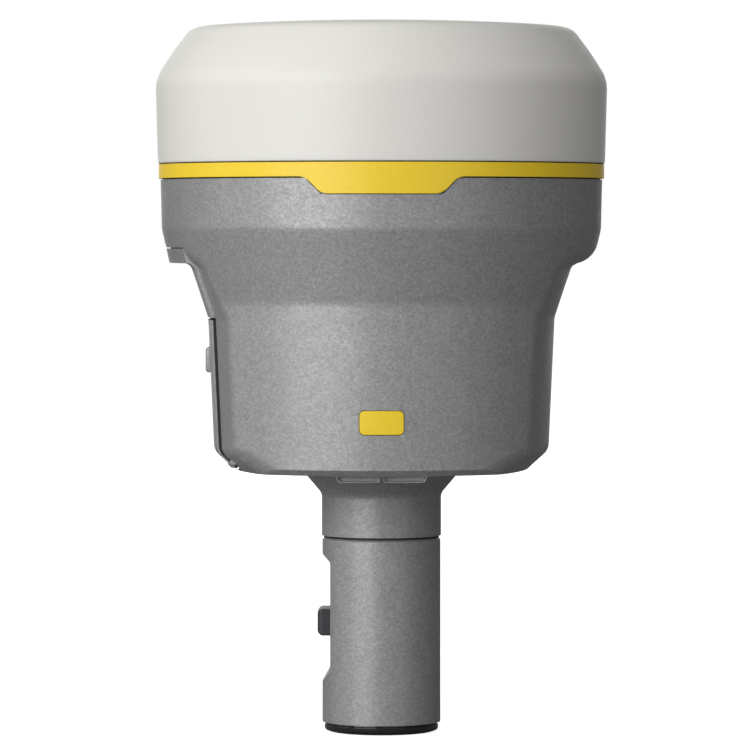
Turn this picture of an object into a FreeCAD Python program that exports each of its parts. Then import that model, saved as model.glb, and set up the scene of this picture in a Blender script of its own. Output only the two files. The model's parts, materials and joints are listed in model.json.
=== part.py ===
import FreeCAD, Part
import Sketcher
import math
import os
import re

# A satellite positioning receiver on its quick-release pole adapter.  All sizes are in millimetres.
# The origin is the centre of the adapter's foot, +Z is up and -Y is the front.

doc = FreeCAD.newDocument("gnss_receiver")
sizes = doc.addObject("Spreadsheet::Sheet", "Sizes")
probe = doc.addObject("App::FeaturePython", "Probe")
probe.addProperty("App::PropertyFloat", "Amount")

SIZES = (
    # clearances shared by many fits
    ("running_fit", 0.06, "radial clearance of a shaft or button in its hole"),
    ("panel_gap", 0.35, "visible gap round the battery door"),
    ("seat_gap", 0.12, "gap round a glued or screwed insert"),
    ("bezel_gap", 0.3, "visible gap round the side bezel"),
    # foot and pole thread
    ("foot_radius", 15.0, "black foot ring, outside radius"),
    ("foot_bore", 9.7, "black foot ring, bore radius"),
    ("foot_height", 2.6, "black foot ring, height"),
    ("thread_radius", 6.8, "pole thread, minor radius"),
    ("thread_length", 20.0, "pole thread, length"),
    ("thread_start", 1.0, "height of the thread insert's lower end"),
    ("insert_wall", 2.3, "thread insert, wall"),
    # adapter tube
    ("tube_radius", 15.6, "adapter tube, outside radius"),
    ("tube_top", 51.3, "height of the adapter's upper end"),
    ("tube_edge", 0.5, "chamfer at the adapter's upper edge"),
    ("socket_floor", 36.0, "height of the spigot socket's floor"),
    ("recess_floor", 13.5, "distance of the thumb recess floor from the axis"),
    ("recess_round", 1.4, "rounding at both ends of the recess floor"),
    ("recess_low", 16.6, "lower end of the flat recess floor"),
    ("recess_high", 45.0, "upper end of the flat recess floor"),
    ("recess_low_slope", 1.62, "rise of the lower recess ramp per unit of depth"),
    ("recess_high_slope", 0.95, "rise of the upper recess ramp per unit of depth"),
    ("button_low", 25.6, "height of the release button's lower side"),
    ("button_height", 7.1, "release button, height"),
    ("button_width", 12.4, "release button, width"),
    ("button_face", 16.85, "distance of the release button's face from the axis"),
    ("button_length", 8.25, "release button, front to back"),
    ("button_edge", 0.9, "bevel round the release button's face"),
    ("button_well", 4.4, "distance of the button well's end from the axis"),
    ("spring_radius", 2.4, "release spring, coil radius"),
    ("spring_wire", 0.35, "release spring, wire radius"),
    ("spring_turns", 4.0, "release spring, number of turns"),
    ("pin_radius", 0.7, "release pin, radius"),
    ("pin_reach", 11.6, "distance of the release pin from the axis"),
    ("pin_top", 40.4, "height of the release pin's upper end"),
    ("button_travel", 2.0, "release button, travel"),
    ("clip_height", 40.0, "height of the lock clip"),
    ("clip_wire", 0.45, "lock clip, wire radius"),
    ("clip_gap", 50.0, "opening of the lock clip in degrees"),
    # spigot and neck
    ("spigot_radius", 8.5, "spigot, radius"),
    ("spigot_tip", 36.4, "height of the spigot's lower end"),
    ("spigot_top", 59.5, "height of the spigot's upper end inside the neck"),
    ("spigot_point", 1.2, "chamfer at the spigot's tip"),
    ("seam_height", 0.5, "seam washer, height"),
    ("seam_radius", 15.2, "seam washer, radius"),
    ("neck_radius", 15.75, "neck, radius"),
    ("neck_bend", 62.9, "height where the neck starts to flare"),
    ("flare_radius", 20.6, "neck flare, outer radius"),
    ("flare_top", 68.6, "height of the flare's upper edge"),
    ("neck_bore", 5.0, "wire way through the neck, radius"),
    ("neck_fillet", 3.0, "fillet where the neck flares"),
    # housing: the turned form
    ("floor_height", 69.7, "height of the housing's flat bottom"),
    ("floor_radius", 50.7, "radius of the housing's flat bottom"),
    ("edge_radius", 52.15, "radius above the bottom bevel"),
    ("edge_height", 71.2, "height of the bottom bevel's upper edge"),
    ("waist_radius", 53.6, "radius where the wall meets the slope"),
    ("waist_height", 113.5, "height where the wall meets the slope"),
    ("flange_radius", 57.9, "radius where the slope meets the flange"),
    ("flange_height", 132.7, "height where the slope meets the flange"),
    ("rim_radius", 58.2, "radius at the housing's upper rim"),
    ("rim_height", 145.6, "height of the housing's upper rim"),
    ("waist_blend", 10.0, "blend between wall and slope"),
    ("flange_blend", 8.0, "blend between slope and flange"),
    # housing: the two side faces, each turned about an upright axis on the other side
    ("side_axis", 65.0, "distance of a side face's axis from the centre"),
    ("panel_axis", 135.0, "distance of the door and bezel's axis from the centre"),
    ("lip_height", 124.9, "height of the underside of the flange at the side"),
    ("lip_depth", 50.4, "distance where the flange underside meets the side slope"),
    ("lip_rise", 1.2, "fall of the flange underside towards the centre"),
    ("side_waist", 45.65, "distance where the side slope meets the side wall"),
    ("side_waist_height", 109.4, "height where the side slope meets the side wall"),
    ("side_foot", 44.1, "distance of the side wall at its foot"),
    ("side_foot_height", 74.6, "height of the side wall's foot"),
    ("side_bevel", 10.6, "height lost by the lower bevel"),
    ("side_bevel_depth", 11.7, "depth lost by the lower bevel"),
    ("lip_blend", 2.5, "blend between the flange underside and the side slope"),
    ("side_waist_blend", 6.0, "blend between the side slope and the side wall"),
    ("side_foot_blend", 4.0, "blend between the side wall and the lower bevel"),
    ("corner_blend", 7.0, "blend at the four upright corners"),
    ("shell_wall", 2.4, "wall of the housing"),
    ("lip_wall", 1.9, "wall of the locating lip above the rim"),
    ("lip_top", 148.8, "height of the locating lip"),
    ("lip_radius", 55.9, "outside radius of the locating lip"),
    # battery door, bezel and latch
    ("door_half", 24.0, "half the width of the battery door"),
    ("door_low", 70.5, "height of the door's lower edge"),
    ("door_high", 109.0, "height of the door's upper edge"),
    ("door_wall", 2.4, "thickness of the door"),
    ("bezel_low", 109.6, "height of the bezel's lower edge"),
    ("bezel_high", 127.5, "height of the bezel's upper edge"),
    ("bezel_wall", 1.2, "thickness of the bezel"),
    ("hinge_reach", 38.3, "distance of the hinge axis from the centre"),
    ("hinge_height", 72.3, "height of the hinge axis"),
    ("door_toe", 0.8, "how far the door reaches past the hinge axis"),
    ("hinge_pin_radius", 0.9, "hinge pin, radius"),
    ("knuckle_radius", 1.75, "door knuckle, radius"),
    ("hinge_relief", 2.7, "room cut round the knuckles"),
    ("ear_width", 3.2, "width of each hinge ear"),
    ("latch_low", 95.0, "height of the latch knob's lower side"),
    ("latch_height", 6.6, "latch knob, height"),
    ("latch_width", 16.0, "latch knob, width"),
    ("latch_face", 46.2, "distance of the latch knob's face from the centre"),
    ("latch_travel", 4.0, "latch knob, travel"),
    ("carriage_face", 41.3, "distance of the latch carriage's face from the centre"),
    ("carriage_wall", 1.2, "latch carriage, thickness"),
    ("carriage_half", 10.0, "latch carriage, half its width"),
    ("carriage_low", 86.5, "height of the carriage's lower edge"),
    ("carriage_high", 106.8, "height of the carriage's upper edge"),
    ("tongue_half", 6.0, "latch tongue, half its width"),
    ("tongue_wall", 0.6, "latch tongue, thickness"),
    ("tongue_top", 111.6, "height of the latch tongue's tip"),
    ("latch_spring_radius", 0.75, "latch spring, coil radius"),
    ("latch_spring_wire", 0.16, "latch spring, wire radius"),
    ("latch_spring_turns", 7.0, "latch spring, number of turns"),
    ("spring_shelf", 78.0, "height of the shelf under the latch spring"),
    ("door_seal_wall", 1.0, "door seal, width"),
    ("door_lip", 0.35, "door lip over its seal, thickness"),
    # battery and bay
    ("battery_length", 70.0, "battery, length"),
    ("battery_width", 38.0, "battery, width"),
    ("battery_height", 20.4, "battery, height"),
    ("battery_front", 39.2, "distance of the battery's front from the centre"),
    ("battery_low", 79.5, "height of the battery's underside"),
    ("battery_edge", 2.0, "rounding of the battery's long edges"),
    ("bay_gap", 0.4, "gap round the battery"),
    ("bay_wall", 1.5, "battery bay, wall"),
    ("contact_count", 5, "battery contacts"),
    ("contact_pitch", 5.0, "battery contacts, pitch"),
    ("contact_radius", 0.9, "battery contacts, radius"),
    ("contact_length", 2.0, "battery contacts, length"),
    # badge, keypad and underside fittings
    ("badge_width", 11.3, "badge, width"),
    ("badge_height", 6.1, "badge, height"),
    ("badge_corner", 1.3, "badge, corner radius"),
    ("badge_middle", 83.4, "height of the badge's middle"),
    ("badge_proud", 0.3, "height of the badge's face above the wall"),
    ("badge_depth", 1.2, "badge, thickness"),
    ("keypad_width", 36.0, "keypad, width"),
    ("keypad_height", 17.0, "keypad, height"),
    ("keypad_corner", 3.0, "keypad, corner radius"),
    ("keypad_middle", 92.0, "height of the keypad's middle"),
    ("keypad_proud", 0.4, "height of the keypad's face above the wall"),
    ("keypad_depth", 1.6, "keypad, thickness"),
    ("key_radius", 4.5, "power key, radius"),
    ("key_offset", 10.0, "distance of the power key from the keypad's middle"),
    ("key_proud", 1.6, "distance of the power key's face beyond the wall's foot"),
    ("key_length", 4.0, "power key, length"),
    ("lamp_count", 4, "status lamps"),
    ("lamp_pitch", 3.8, "status lamps, pitch"),
    ("lamp_radius", 1.1, "status lamps, radius"),
    ("lamp_proud", 0.15, "status lamps, height above the keypad"),
    ("port_place", 36.0, "distance of the data port from the axis"),
    ("port_radius", 7.5, "data port, flange radius"),
    ("port_flange", 1.0, "data port, flange thickness"),
    ("port_body", 6.2, "data port, body radius"),
    ("port_bore", 4.4, "data port, bore radius"),
    ("port_depth", 9.0, "data port, length"),
    ("port_cap_wall", 1.6, "port cap, thickness of its head"),
    ("port_pin_count", 6, "data port, contact pins"),
    ("port_pin_radius", 0.4, "data port, pin radius"),
    ("port_pin_circle", 2.4, "data port, pin circle radius"),
    ("fitting_angle", 60.0, "direction of the aerial socket and the vent"),
    ("fitting_place", 40.0, "distance of the aerial socket and the vent from the axis"),
    ("aerial_radius", 5.2, "aerial socket, flange radius"),
    ("aerial_thread", 3.6, "aerial socket, thread radius"),
    ("aerial_length", 3.0, "aerial socket, length below the floor"),
    ("aerial_bore", 2.2, "aerial socket, bore radius"),
    ("vent_radius", 5.0, "pressure vent, radius"),
    ("vent_height", 1.2, "pressure vent, height below the floor"),
    ("lug_half", 11.7, "half the width across the two hook lugs"),
    ("lug_split", 1.0, "gap between the two hook lugs"),
    ("lug_front", 49.4, "distance of the hook lugs' front from the axis"),
    ("lug_depth", 6.0, "hook lugs, front to back"),
    ("lug_height", 1.6, "hook lugs, height"),
    ("label_width", 26.0, "plain label, width"),
    ("label_height", 14.0, "plain label, height"),
    ("label_wall", 0.3, "plain label, thickness"),
    ("label_place", 34.0, "distance of the plain label's middle from the axis"),
    ("screw_head", 2.6, "housing screws, head radius"),
    ("screw_shank", 1.4, "housing screws, shank radius"),
    ("screw_length", 5.0, "housing screws, length"),
    ("screw_place", 29.0, "distance of the housing screws from the axis"),
    ("screw_angle", 22.0, "angle of the housing screws from the X axis"),
    # trim ring and radome
    ("seal_height", 0.3, "seal under the trim ring, height"),
    ("seal_radius", 57.6, "seal under the trim ring, radius"),
    ("ring_radius", 58.7, "trim ring, outside radius"),
    ("ring_height", 3.7, "trim ring, height"),
    ("ring_bore", 56.1, "trim ring, bore radius"),
    ("tab_drop", 4.35, "how far the trim ring's tab hangs down"),
    ("tab_top_half", 19.5, "tab, half its width at the top"),
    ("tab_low_half", 15.3, "tab, half its width at the bottom"),
    ("tab_inner", 57.0, "tab, inside radius"),
    ("radome_seal", 0.25, "seal under the radome, height"),
    ("radome_foot", 58.85, "radome, radius at its foot"),
    ("radome_radius", 59.5, "radome, greatest radius"),
    ("radome_shoulder", 172.5, "height where the radome's wall meets its cone"),
    ("dome_radius", 50.3, "radius where the radome's cone meets its dome"),
    ("dome_edge", 185.45, "height where the radome's cone meets its dome"),
    ("dome_top", 187.2, "height of the radome's crown"),
    ("radome_wall", 2.5, "radome, wall"),
    ("shoulder_blend", 3.0, "blend between the radome's wall and cone"),
    ("dome_blend", 6.5, "blend between the radome's cone and dome"),
    # aerial and electronics
    ("plane_radius", 55.4, "ground plane, radius"),
    ("plane_wall", 1.5, "ground plane, thickness"),
    ("spacer_height", 2.0, "aerial board spacers, height"),
    ("spacer_radius", 2.5, "aerial board spacers, radius"),
    ("spacer_place", 38.0, "distance of the spacers from the axis"),
    ("aerial_board_radius", 45.0, "aerial board, radius"),
    ("board_wall", 1.6, "circuit boards, thickness"),
    ("patch_radius", 30.0, "lower patch, radius"),
    ("patch_height", 6.0, "lower patch, height"),
    ("top_patch_radius", 20.0, "upper patch, radius"),
    ("top_patch_height", 3.5, "upper patch, height"),
    ("shield_radius", 18.0, "amplifier shield, radius"),
    ("shield_height", 8.0, "amplifier shield, height"),
    ("lead_radius", 1.2, "aerial lead, radius"),
    ("lead_place", 10.0, "distance of the aerial lead from the axis"),
    ("plug_radius", 2.4, "aerial lead plugs, radius"),
    ("plug_height", 3.0, "aerial lead plugs, height"),
    ("chassis_radius", 38.5, "chassis plate, radius"),
    ("chassis_wall", 1.5, "chassis plate, thickness"),
    ("chassis_height", 103.2, "height of the chassis plate's underside"),
    ("post_radius", 3.2, "chassis posts, radius"),
    ("post_side", 22.0, "chassis posts, distance from the middle along X"),
    ("post_clear", 3.4, "gap between the battery bay and the chassis posts"),
    ("main_board_radius", 38.0, "main board, radius"),
    ("standoff_height", 7.0, "main board standoffs, height"),
    ("standoff_radius", 2.6, "main board standoffs, radius"),
    ("standoff_place", 32.0, "distance of the standoffs from the axis"),
    ("board_screw_head", 2.3, "board screws, head radius"),
    ("board_screw_shank", 1.2, "board screws, shank radius"),
    ("board_screw_top", 1.6, "board screws, head height"),
    ("board_screw_length", 5.0, "board screws, shank length"),
    ("chip_width", 26.0, "processor shield, width"),
    ("chip_depth", 20.0, "processor shield, depth"),
    ("chip_height", 3.4, "processor shield, height"),
    ("radio_width", 34.0, "radio module, width"),
    ("radio_depth", 16.0, "radio module, depth"),
    ("radio_height", 5.2, "radio module, height"),
    ("module_gap", 2.0, "gap between the modules and the board's middle line"),
)
NAMES = {row[0] for row in SIZES}
FRONT_VIEW = "XZ_Plane"
PLAN_VIEW = "XY_Plane"
SUBPARTS = []


def fill_sheet():
    """Write every size, its alias and its meaning into the sheet."""
    for number_of_row, (name, amount, meaning) in enumerate(SIZES, start=1):
        sizes.set("A%d" % number_of_row, name)
        sizes.set("B%d" % number_of_row, str(amount))
        sizes.set("C%d" % number_of_row, meaning)
        sizes.setAlias("B%d" % number_of_row, name)
    doc.recompute()


def bound(text):
    """Turn a formula in size names into an expression on the sheet."""
    return re.sub(r"[a-z][a-z_]*", lambda m: "Sizes." + m[0] if m[0] in NAMES else m[0], str(text))


def number(text):
    """The present value of a formula in size names."""
    probe.setExpression("Amount", bound(text))
    probe.recompute()
    return probe.Amount


def bind(thing, prop, text):
    thing.setExpression(prop, bound(text))


def place(thing, spot):
    """Bind the position of an object to three formulas."""
    for axis, text in zip("xyz", spot):
        bind(thing, "Placement.Base." + axis, text)


def keep(thing, label):
    """Name an object as a sub-part that is written out."""
    thing.Label = label
    SUBPARTS.append(thing)
    return thing


# ---- PartDesign helpers ----------------------------------------------------------------------

def new_body(name):
    return doc.addObject("PartDesign::Body", name)


def plane_of(body, role):
    return next(item for item in body.Origin.OriginFeatures if item.Role == role)


def sketch_on(body, role, name):
    sketch = body.newObject("Sketcher::SketchObject", name)
    sketch.AttachmentSupport = [(plane_of(body, role), "")]
    sketch.MapMode = "FlatFace"
    return sketch


def outline(sketch, points, domed=None):
    """Draw a closed outline through corners given as pairs of formulas.

    A corner with a third formula is rounded to that radius.  The edge that leaves the corner
    numbered domed is an arc centred on the upright axis.
    """
    spots = [FreeCAD.Vector(number(corner[0]), number(corner[1]), 0) for corner in points]
    count = len(spots)
    rounds = {index: rounding(spots, index, number(corner[2]))
              for index, corner in enumerate(points) if len(corner) == 3}
    for index, spot in enumerate(spots):
        ahead = (index + 1) % count
        start = rounds[index][1] if index in rounds else spot
        finish = rounds[ahead][0] if ahead in rounds else spots[ahead]
        edge = dome_arc(start, finish) if index == domed else Part.LineSegment(start, finish)
        sketch.addGeometry(edge)
    for index, corner in enumerate(points):
        behind = (index - 1) % count
        if index in rounds:
            join_round(sketch, behind, index, rounds[index], corner)
        else:
            sketch.addConstraint(constraint("Coincident", behind, 2, index, 1))
            pin_point(sketch, index, 1, corner[0], corner[1])
    if domed is not None:
        sketch.addConstraint(constraint("PointOnObject", domed, 3, -2))


def rounding(spots, index, radius):
    """Where a rounded corner's arc starts and ends, its centre, and whether it turns left."""
    corner = spots[index]
    back = (spots[index - 1] - corner).normalize()
    ahead = (spots[(index + 1) % len(spots)] - corner).normalize()
    half = back.getAngle(ahead) / 2
    reach = radius / math.tan(half)
    centre = corner + (back + ahead).normalize() * (radius / math.sin(half))
    turns_left = back.cross(ahead).z < 0
    return corner + back * reach, corner + ahead * reach, centre, turns_left


def join_round(sketch, behind, ahead, shape, corner):
    """Add a rounded corner's arc and tie it, and the corner it replaces, to both edges."""
    start, finish, centre, turns_left = shape
    circle = Part.Circle(centre, FreeCAD.Vector(0, 0, 1), (start - centre).Length)
    first, last = (start, finish) if turns_left else (finish, start)
    turn = math.atan2(first.y - centre.y, first.x - centre.x)
    stop = math.atan2(last.y - centre.y, last.x - centre.x)
    arc = sketch.addGeometry(Part.ArcOfCircle(circle, turn, stop))
    enter, leave = (1, 2) if turns_left else (2, 1)
    sketch.addConstraint(constraint("Tangent", behind, 2, arc, enter))
    sketch.addConstraint(constraint("Tangent", arc, leave, ahead, 1))
    row = sketch.addConstraint(constraint("Radius", arc, number(corner[2])))
    bind(sketch, "Constraints[%d]" % row, corner[2])
    meeting = sketch.addGeometry(Part.Point(FreeCAD.Vector(number(corner[0]), number(corner[1]), 0)))
    sketch.addConstraint(constraint("PointOnObject", meeting, 1, behind))
    sketch.addConstraint(constraint("PointOnObject", meeting, 1, ahead))
    pin_point(sketch, meeting, 1, corner[0], corner[1])


def constraint(*what):
    return Sketcher.Constraint(*what)


def dome_arc(low, high):
    """The arc from low to high, running anticlockwise, whose centre is on the upright axis."""
    rise = high.y - low.y
    centre_y = (high.y ** 2 - low.y ** 2 + high.x ** 2 - low.x ** 2) / (2 * rise)
    centre = FreeCAD.Vector(0, centre_y, 0)
    circle = Part.Circle(centre, FreeCAD.Vector(0, 0, 1), (low - centre).Length)
    first = math.atan2(low.y - centre_y, low.x)
    last = math.atan2(high.y - centre_y, high.x)
    return Part.ArcOfCircle(circle, first, last)


def pin_point(sketch, edge, end, x, y):
    """Hold one end of an edge at a place given by two formulas."""
    for kind, text in (("DistanceX", x), ("DistanceY", y)):
        row = sketch.addConstraint(constraint(kind, -1, 1, edge, end, number(text)))
        bind(sketch, "Constraints[%d]" % row, text)


def turned(name, points, domed=None):
    """A body turned about +Z from an outline in radius and height."""
    body = new_body(name)
    sketch = sketch_on(body, FRONT_VIEW, name + "_outline")
    outline(sketch, points, domed)
    feature = body.newObject("PartDesign::Revolution", name + "_turn")
    feature.Profile = sketch
    feature.ReferenceAxis = (sketch, ["V_Axis"])
    feature.Angle = 360
    doc.recompute()
    return body


def padded(name, role, points, length, midplane=True, backwards=False):
    """A body padded from an outline on one of its origin planes."""
    body = new_body(name)
    sketch = sketch_on(body, role, name + "_outline")
    outline(sketch, points)
    feature = body.newObject("PartDesign::Pad", name + "_pad")
    feature.Profile = sketch
    feature.Midplane = midplane
    feature.Reversed = backwards
    bind(feature, "Length", length)
    doc.recompute()
    return body


def pocketed(body, name, role, points, length):
    """Cut a pocket, centred on its plane, and check that it takes material away."""
    before = body.Shape.Volume
    sketch = sketch_on(body, role, name + "_outline")
    outline(sketch, points)
    feature = body.newObject("PartDesign::Pocket", name)
    feature.Profile = sketch
    feature.Midplane = True
    bind(feature, "Length", length)
    doc.recompute()
    if body.Shape.Volume >= before - 0.01:
        raise RuntimeError(name + " cuts nothing")


def dress(body, kind, prop, amount, wanted, name):
    """Fillet or chamfer the edges of a body that a test picks out."""
    edges = [("Edge%d" % (index + 1)) for index, edge in enumerate(body.Shape.Edges) if wanted(edge)]
    feature = body.newObject("PartDesign::" + kind, name)
    feature.Base = (body.Tip.Document.getObject(feature.BaseFeature.Name), edges)
    bind(feature, prop, amount)
    doc.recompute()


def fillet(body, amount, wanted, name):
    dress(body, "Fillet", "Radius", amount, wanted, name)


def chamfer(body, amount, wanted, name):
    dress(body, "Chamfer", "Size", amount, wanted, name)


def circle_at(radius, height):
    """A test for the full circle round +Z of this radius at this height."""
    def test(edge):
        box = edge.BoundBox
        return (abs(box.ZMin - height) < 0.02 and abs(box.ZMax - height) < 0.02
                and abs(box.XMax - radius) < 0.02 and abs(box.XMin + radius) < 0.02)
    return test


def rectangle(left, right, low, high):
    return [(left, low), (right, low), (right, high), (left, high)]


# ---- Part helpers ------------------------------------------------------------------------------

def box(name, low, span):
    """A box from its low corner and its three sides."""
    solid = doc.addObject("Part::Box", name)
    for prop, text in zip(("Length", "Width", "Height"), span):
        bind(solid, prop, text)
    place(solid, low)
    return solid


def cylinder(name, radius, height, spot, turn=None):
    """An upright cylinder on a spot, or one turned to lie along another axis."""
    solid = doc.addObject("Part::Cylinder", name)
    bind(solid, "Radius", radius)
    bind(solid, "Height", height)
    if turn is not None:
        solid.Placement = FreeCAD.Placement(FreeCAD.Vector(), FreeCAD.Rotation(*turn))
    place(solid, spot)
    return solid


ALONG_Y = (FreeCAD.Vector(1, 0, 0), -90)
ALONG_X = (FreeCAD.Vector(0, 1, 0), 90)


def fused(name, pieces):
    joined = doc.addObject("Part::MultiFuse", name)
    joined.Shapes = pieces
    return joined


def common(name, base, tool):
    shared = doc.addObject("Part::Common", name)
    shared.Base = base
    shared.Tool = tool
    return shared


def minus(name, base, tools):
    """Take one or more tools away from a base."""
    left = doc.addObject("Part::Cut", name)
    left.Base = base
    left.Tool = tools[0] if len(tools) == 1 else fused(name + "_tools", tools)
    return left


def group(name, pieces):
    """Several separate solids under one name."""
    bunch = doc.addObject("Part::Compound", name)
    bunch.Links = pieces
    return bunch


def polar(index, count, start=0.0):
    """The direction of one of several evenly spaced places."""
    turn = math.radians(start) + 2 * math.pi * index / count
    return math.cos(turn), math.sin(turn)


def coil(name, radius, wire, turns, length, spot, turn=None):
    """A round-wire compression spring that stands on a spot, made as a helix of the wire."""
    body = new_body(name)
    sketch = sketch_on(body, FRONT_VIEW, name + "_wire")
    middle = FreeCAD.Vector(number(radius), number(wire), 0)
    ring = sketch.addGeometry(Part.Circle(middle, FreeCAD.Vector(0, 0, 1), number(wire)))
    pin_point(sketch, ring, 3, radius, wire)
    row = sketch.addConstraint(constraint("Radius", ring, number(wire)))
    bind(sketch, "Constraints[%d]" % row, wire)
    helix = body.newObject("PartDesign::AdditiveHelix", name + "_helix")
    helix.Profile = sketch
    helix.ReferenceAxis = (sketch, ["V_Axis"])
    helix.Mode = "pitch-height-angle"
    bind(helix, "Pitch", "(%s - 2 * %s) / %s" % (length, wire, turns))
    bind(helix, "Height", "%s - 2 * %s" % (length, wire))
    if turn is not None:
        body.Placement = FreeCAD.Placement(FreeCAD.Vector(), FreeCAD.Rotation(*turn))
    place(body, spot)
    doc.recompute()
    return body


# ---- pole adapter ------------------------------------------------------------------------------

def make_base_ring():
    body = turned("base_ring", [
        ("foot_bore", "0"), ("foot_radius", "0"),
        ("foot_radius", "foot_height"), ("foot_bore", "foot_height")])
    fillet(body, "0.6", circle_at(number("foot_radius"), 0), "base_ring_round")
    return keep(body, "base_ring")


def make_thread_insert():
    outer = "thread_radius + insert_wall"
    body = turned("pole_thread_insert", [
        ("thread_radius", "thread_start"), (outer, "thread_start"),
        (outer, "thread_start + thread_length"), ("thread_radius", "thread_start + thread_length")])
    return keep(body, "pole_thread_insert")


def make_adapter():
    insert = "thread_radius + insert_wall"
    socket = "spigot_radius + running_fit"
    groove = "spigot_radius + 2 * clip_wire + 2 * running_fit"
    groove_low = "clip_height - clip_wire - seat_gap"
    groove_high = "clip_height + clip_wire + seat_gap"
    body = turned("adapter_body", [
        (insert, "foot_height"), ("tube_radius", "foot_height"), ("tube_radius", "tube_top"),
        (socket, "tube_top"), (socket, groove_high), (groove, groove_high), (groove, groove_low),
        (socket, groove_low), (socket, "socket_floor"), ("0", "socket_floor"),
        ("0", "thread_start + thread_length"), (insert, "thread_start + thread_length")])
    chamfer(body, "tube_edge", circle_at(number("tube_radius"), number("tube_top")), "tube_mouth_edge")
    beyond = "-tube_radius - 2"
    run = "(tube_radius + 2 - recess_floor)"
    pocketed(body, "thumb_recess", FRONT_VIEW, [
        ("-recess_floor", "recess_low", "recess_round"),
        ("-recess_floor", "recess_high", "recess_round"),
        (beyond, "recess_high + recess_high_slope * " + run),
        (beyond, "recess_low - recess_low_slope * " + run)], "2 * tube_radius + 2")
    pocketed(body, "button_well", FRONT_VIEW, rectangle(
        beyond, "-button_well", "button_low - running_fit", "button_low + button_height + running_fit"),
        "button_width + 2 * running_fit")
    pocketed(body, "pin_slot", FRONT_VIEW, rectangle(
        "-pin_reach - pin_radius - seat_gap", "-pin_reach + pin_radius + button_travel + seat_gap",
        "button_low + button_height", "pin_top + seat_gap"), "2 * pin_radius + 2 * seat_gap")
    return keep(body, "adapter_body")


def make_release_button():
    body = padded("release_button", FRONT_VIEW, rectangle(
        "-button_face", "-button_face + button_length", "button_low", "button_low + button_height"),
        "button_width")
    face = -number("button_face")
    chamfer(body, "button_edge", lambda edge: abs(edge.BoundBox.XMax - face) < 0.01, "button_face_edge")
    return keep(body, "release_button")


def make_release_parts():
    pin = cylinder("release_pin", "pin_radius", "pin_top - button_low - button_height",
                   ("-pin_reach", "0", "button_low + button_height"))
    keep(pin, "release_pin")
    rear = "-button_face + button_length"
    spring = coil("button_spring", "spring_radius", "spring_wire", "spring_turns",
                  "(button_face - button_length - button_well)",
                  (rear, "0", "button_low + button_height / 2"), ALONG_X)
    keep(spring, "button_spring")


def make_lock_clip():
    clip = doc.addObject("Part::Torus", "lock_clip")
    bind(clip, "Radius1", "spigot_radius + clip_wire + running_fit / 2")
    bind(clip, "Radius2", "clip_wire")
    bind(clip, "Angle3", "360 - clip_gap")
    place(clip, ("0", "0", "clip_height"))
    clip.Placement.Rotation = FreeCAD.Rotation(FreeCAD.Vector(0, 0, 1), 180 + number("clip_gap / 2"))
    return keep(clip, "lock_clip")


# ---- neck --------------------------------------------------------------------------------------

def make_spigot():
    groove = "spigot_radius - seat_gap"
    low = "clip_height - clip_wire - seat_gap"
    high = "clip_height + clip_wire + seat_gap"
    body = turned("spigot", [
        ("0", "spigot_tip"), ("spigot_radius", "spigot_tip"), ("spigot_radius", low), (groove, low),
        (groove, high), ("spigot_radius", high), ("spigot_radius", "spigot_top"), ("0", "spigot_top")])
    chamfer(body, "spigot_point", circle_at(number("spigot_radius"), number("spigot_tip")), "spigot_end")
    return keep(body, "spigot")


def make_neck():
    seat = "tube_top + seam_height"
    washer = turned("seam_washer", [
        ("spigot_radius", "tube_top"), ("seam_radius", "tube_top"),
        ("seam_radius", seat), ("spigot_radius", seat)])
    keep(washer, "seam_washer")
    body = turned("neck", [
        ("spigot_radius", seat), ("neck_radius", seat), ("neck_radius", "neck_bend"),
        ("flare_radius", "flare_top"), ("flare_radius", "floor_height - seam_height"),
        ("neck_bore", "floor_height - seam_height"), ("neck_bore", "spigot_top"),
        ("spigot_radius", "spigot_top")])
    fillet(body, "neck_fillet", circle_at(number("neck_radius"), number("neck_bend")), "neck_bend_round")
    keep(body, "neck")
    gasket = turned("neck_gasket", [
        ("neck_bore", "floor_height - seam_height"),
        ("flare_radius - seat_gap", "floor_height - seam_height"),
        ("flare_radius - seat_gap", "floor_height"), ("neck_bore", "floor_height")])
    keep(gasket, "neck_gasket")


# ---- housing -----------------------------------------------------------------------------------

def housing_form(name, inset, top, axis="side_axis"):
    """The housing's outer form, or a smaller copy of it whose faces lie inset further in.

    The named axis size sets how far each side face bows: the door and bezel bow less.
    """
    body = turned(name, [
        ("0", "floor_height + " + inset),
        ("floor_radius - 0.6 * " + inset, "floor_height + " + inset),
        ("edge_radius - " + inset, "edge_height + 0.6 * " + inset),
        ("waist_radius - " + inset, "waist_height", "waist_blend"),
        ("flange_radius - " + inset, "flange_height", "flange_blend"),
        ("rim_radius - " + inset, top), ("0", top)])
    for side, word in ((-1, "left"), (1, "right")):
        side_cut(body, name + "_" + word, side, inset, axis)
    return body


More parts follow.
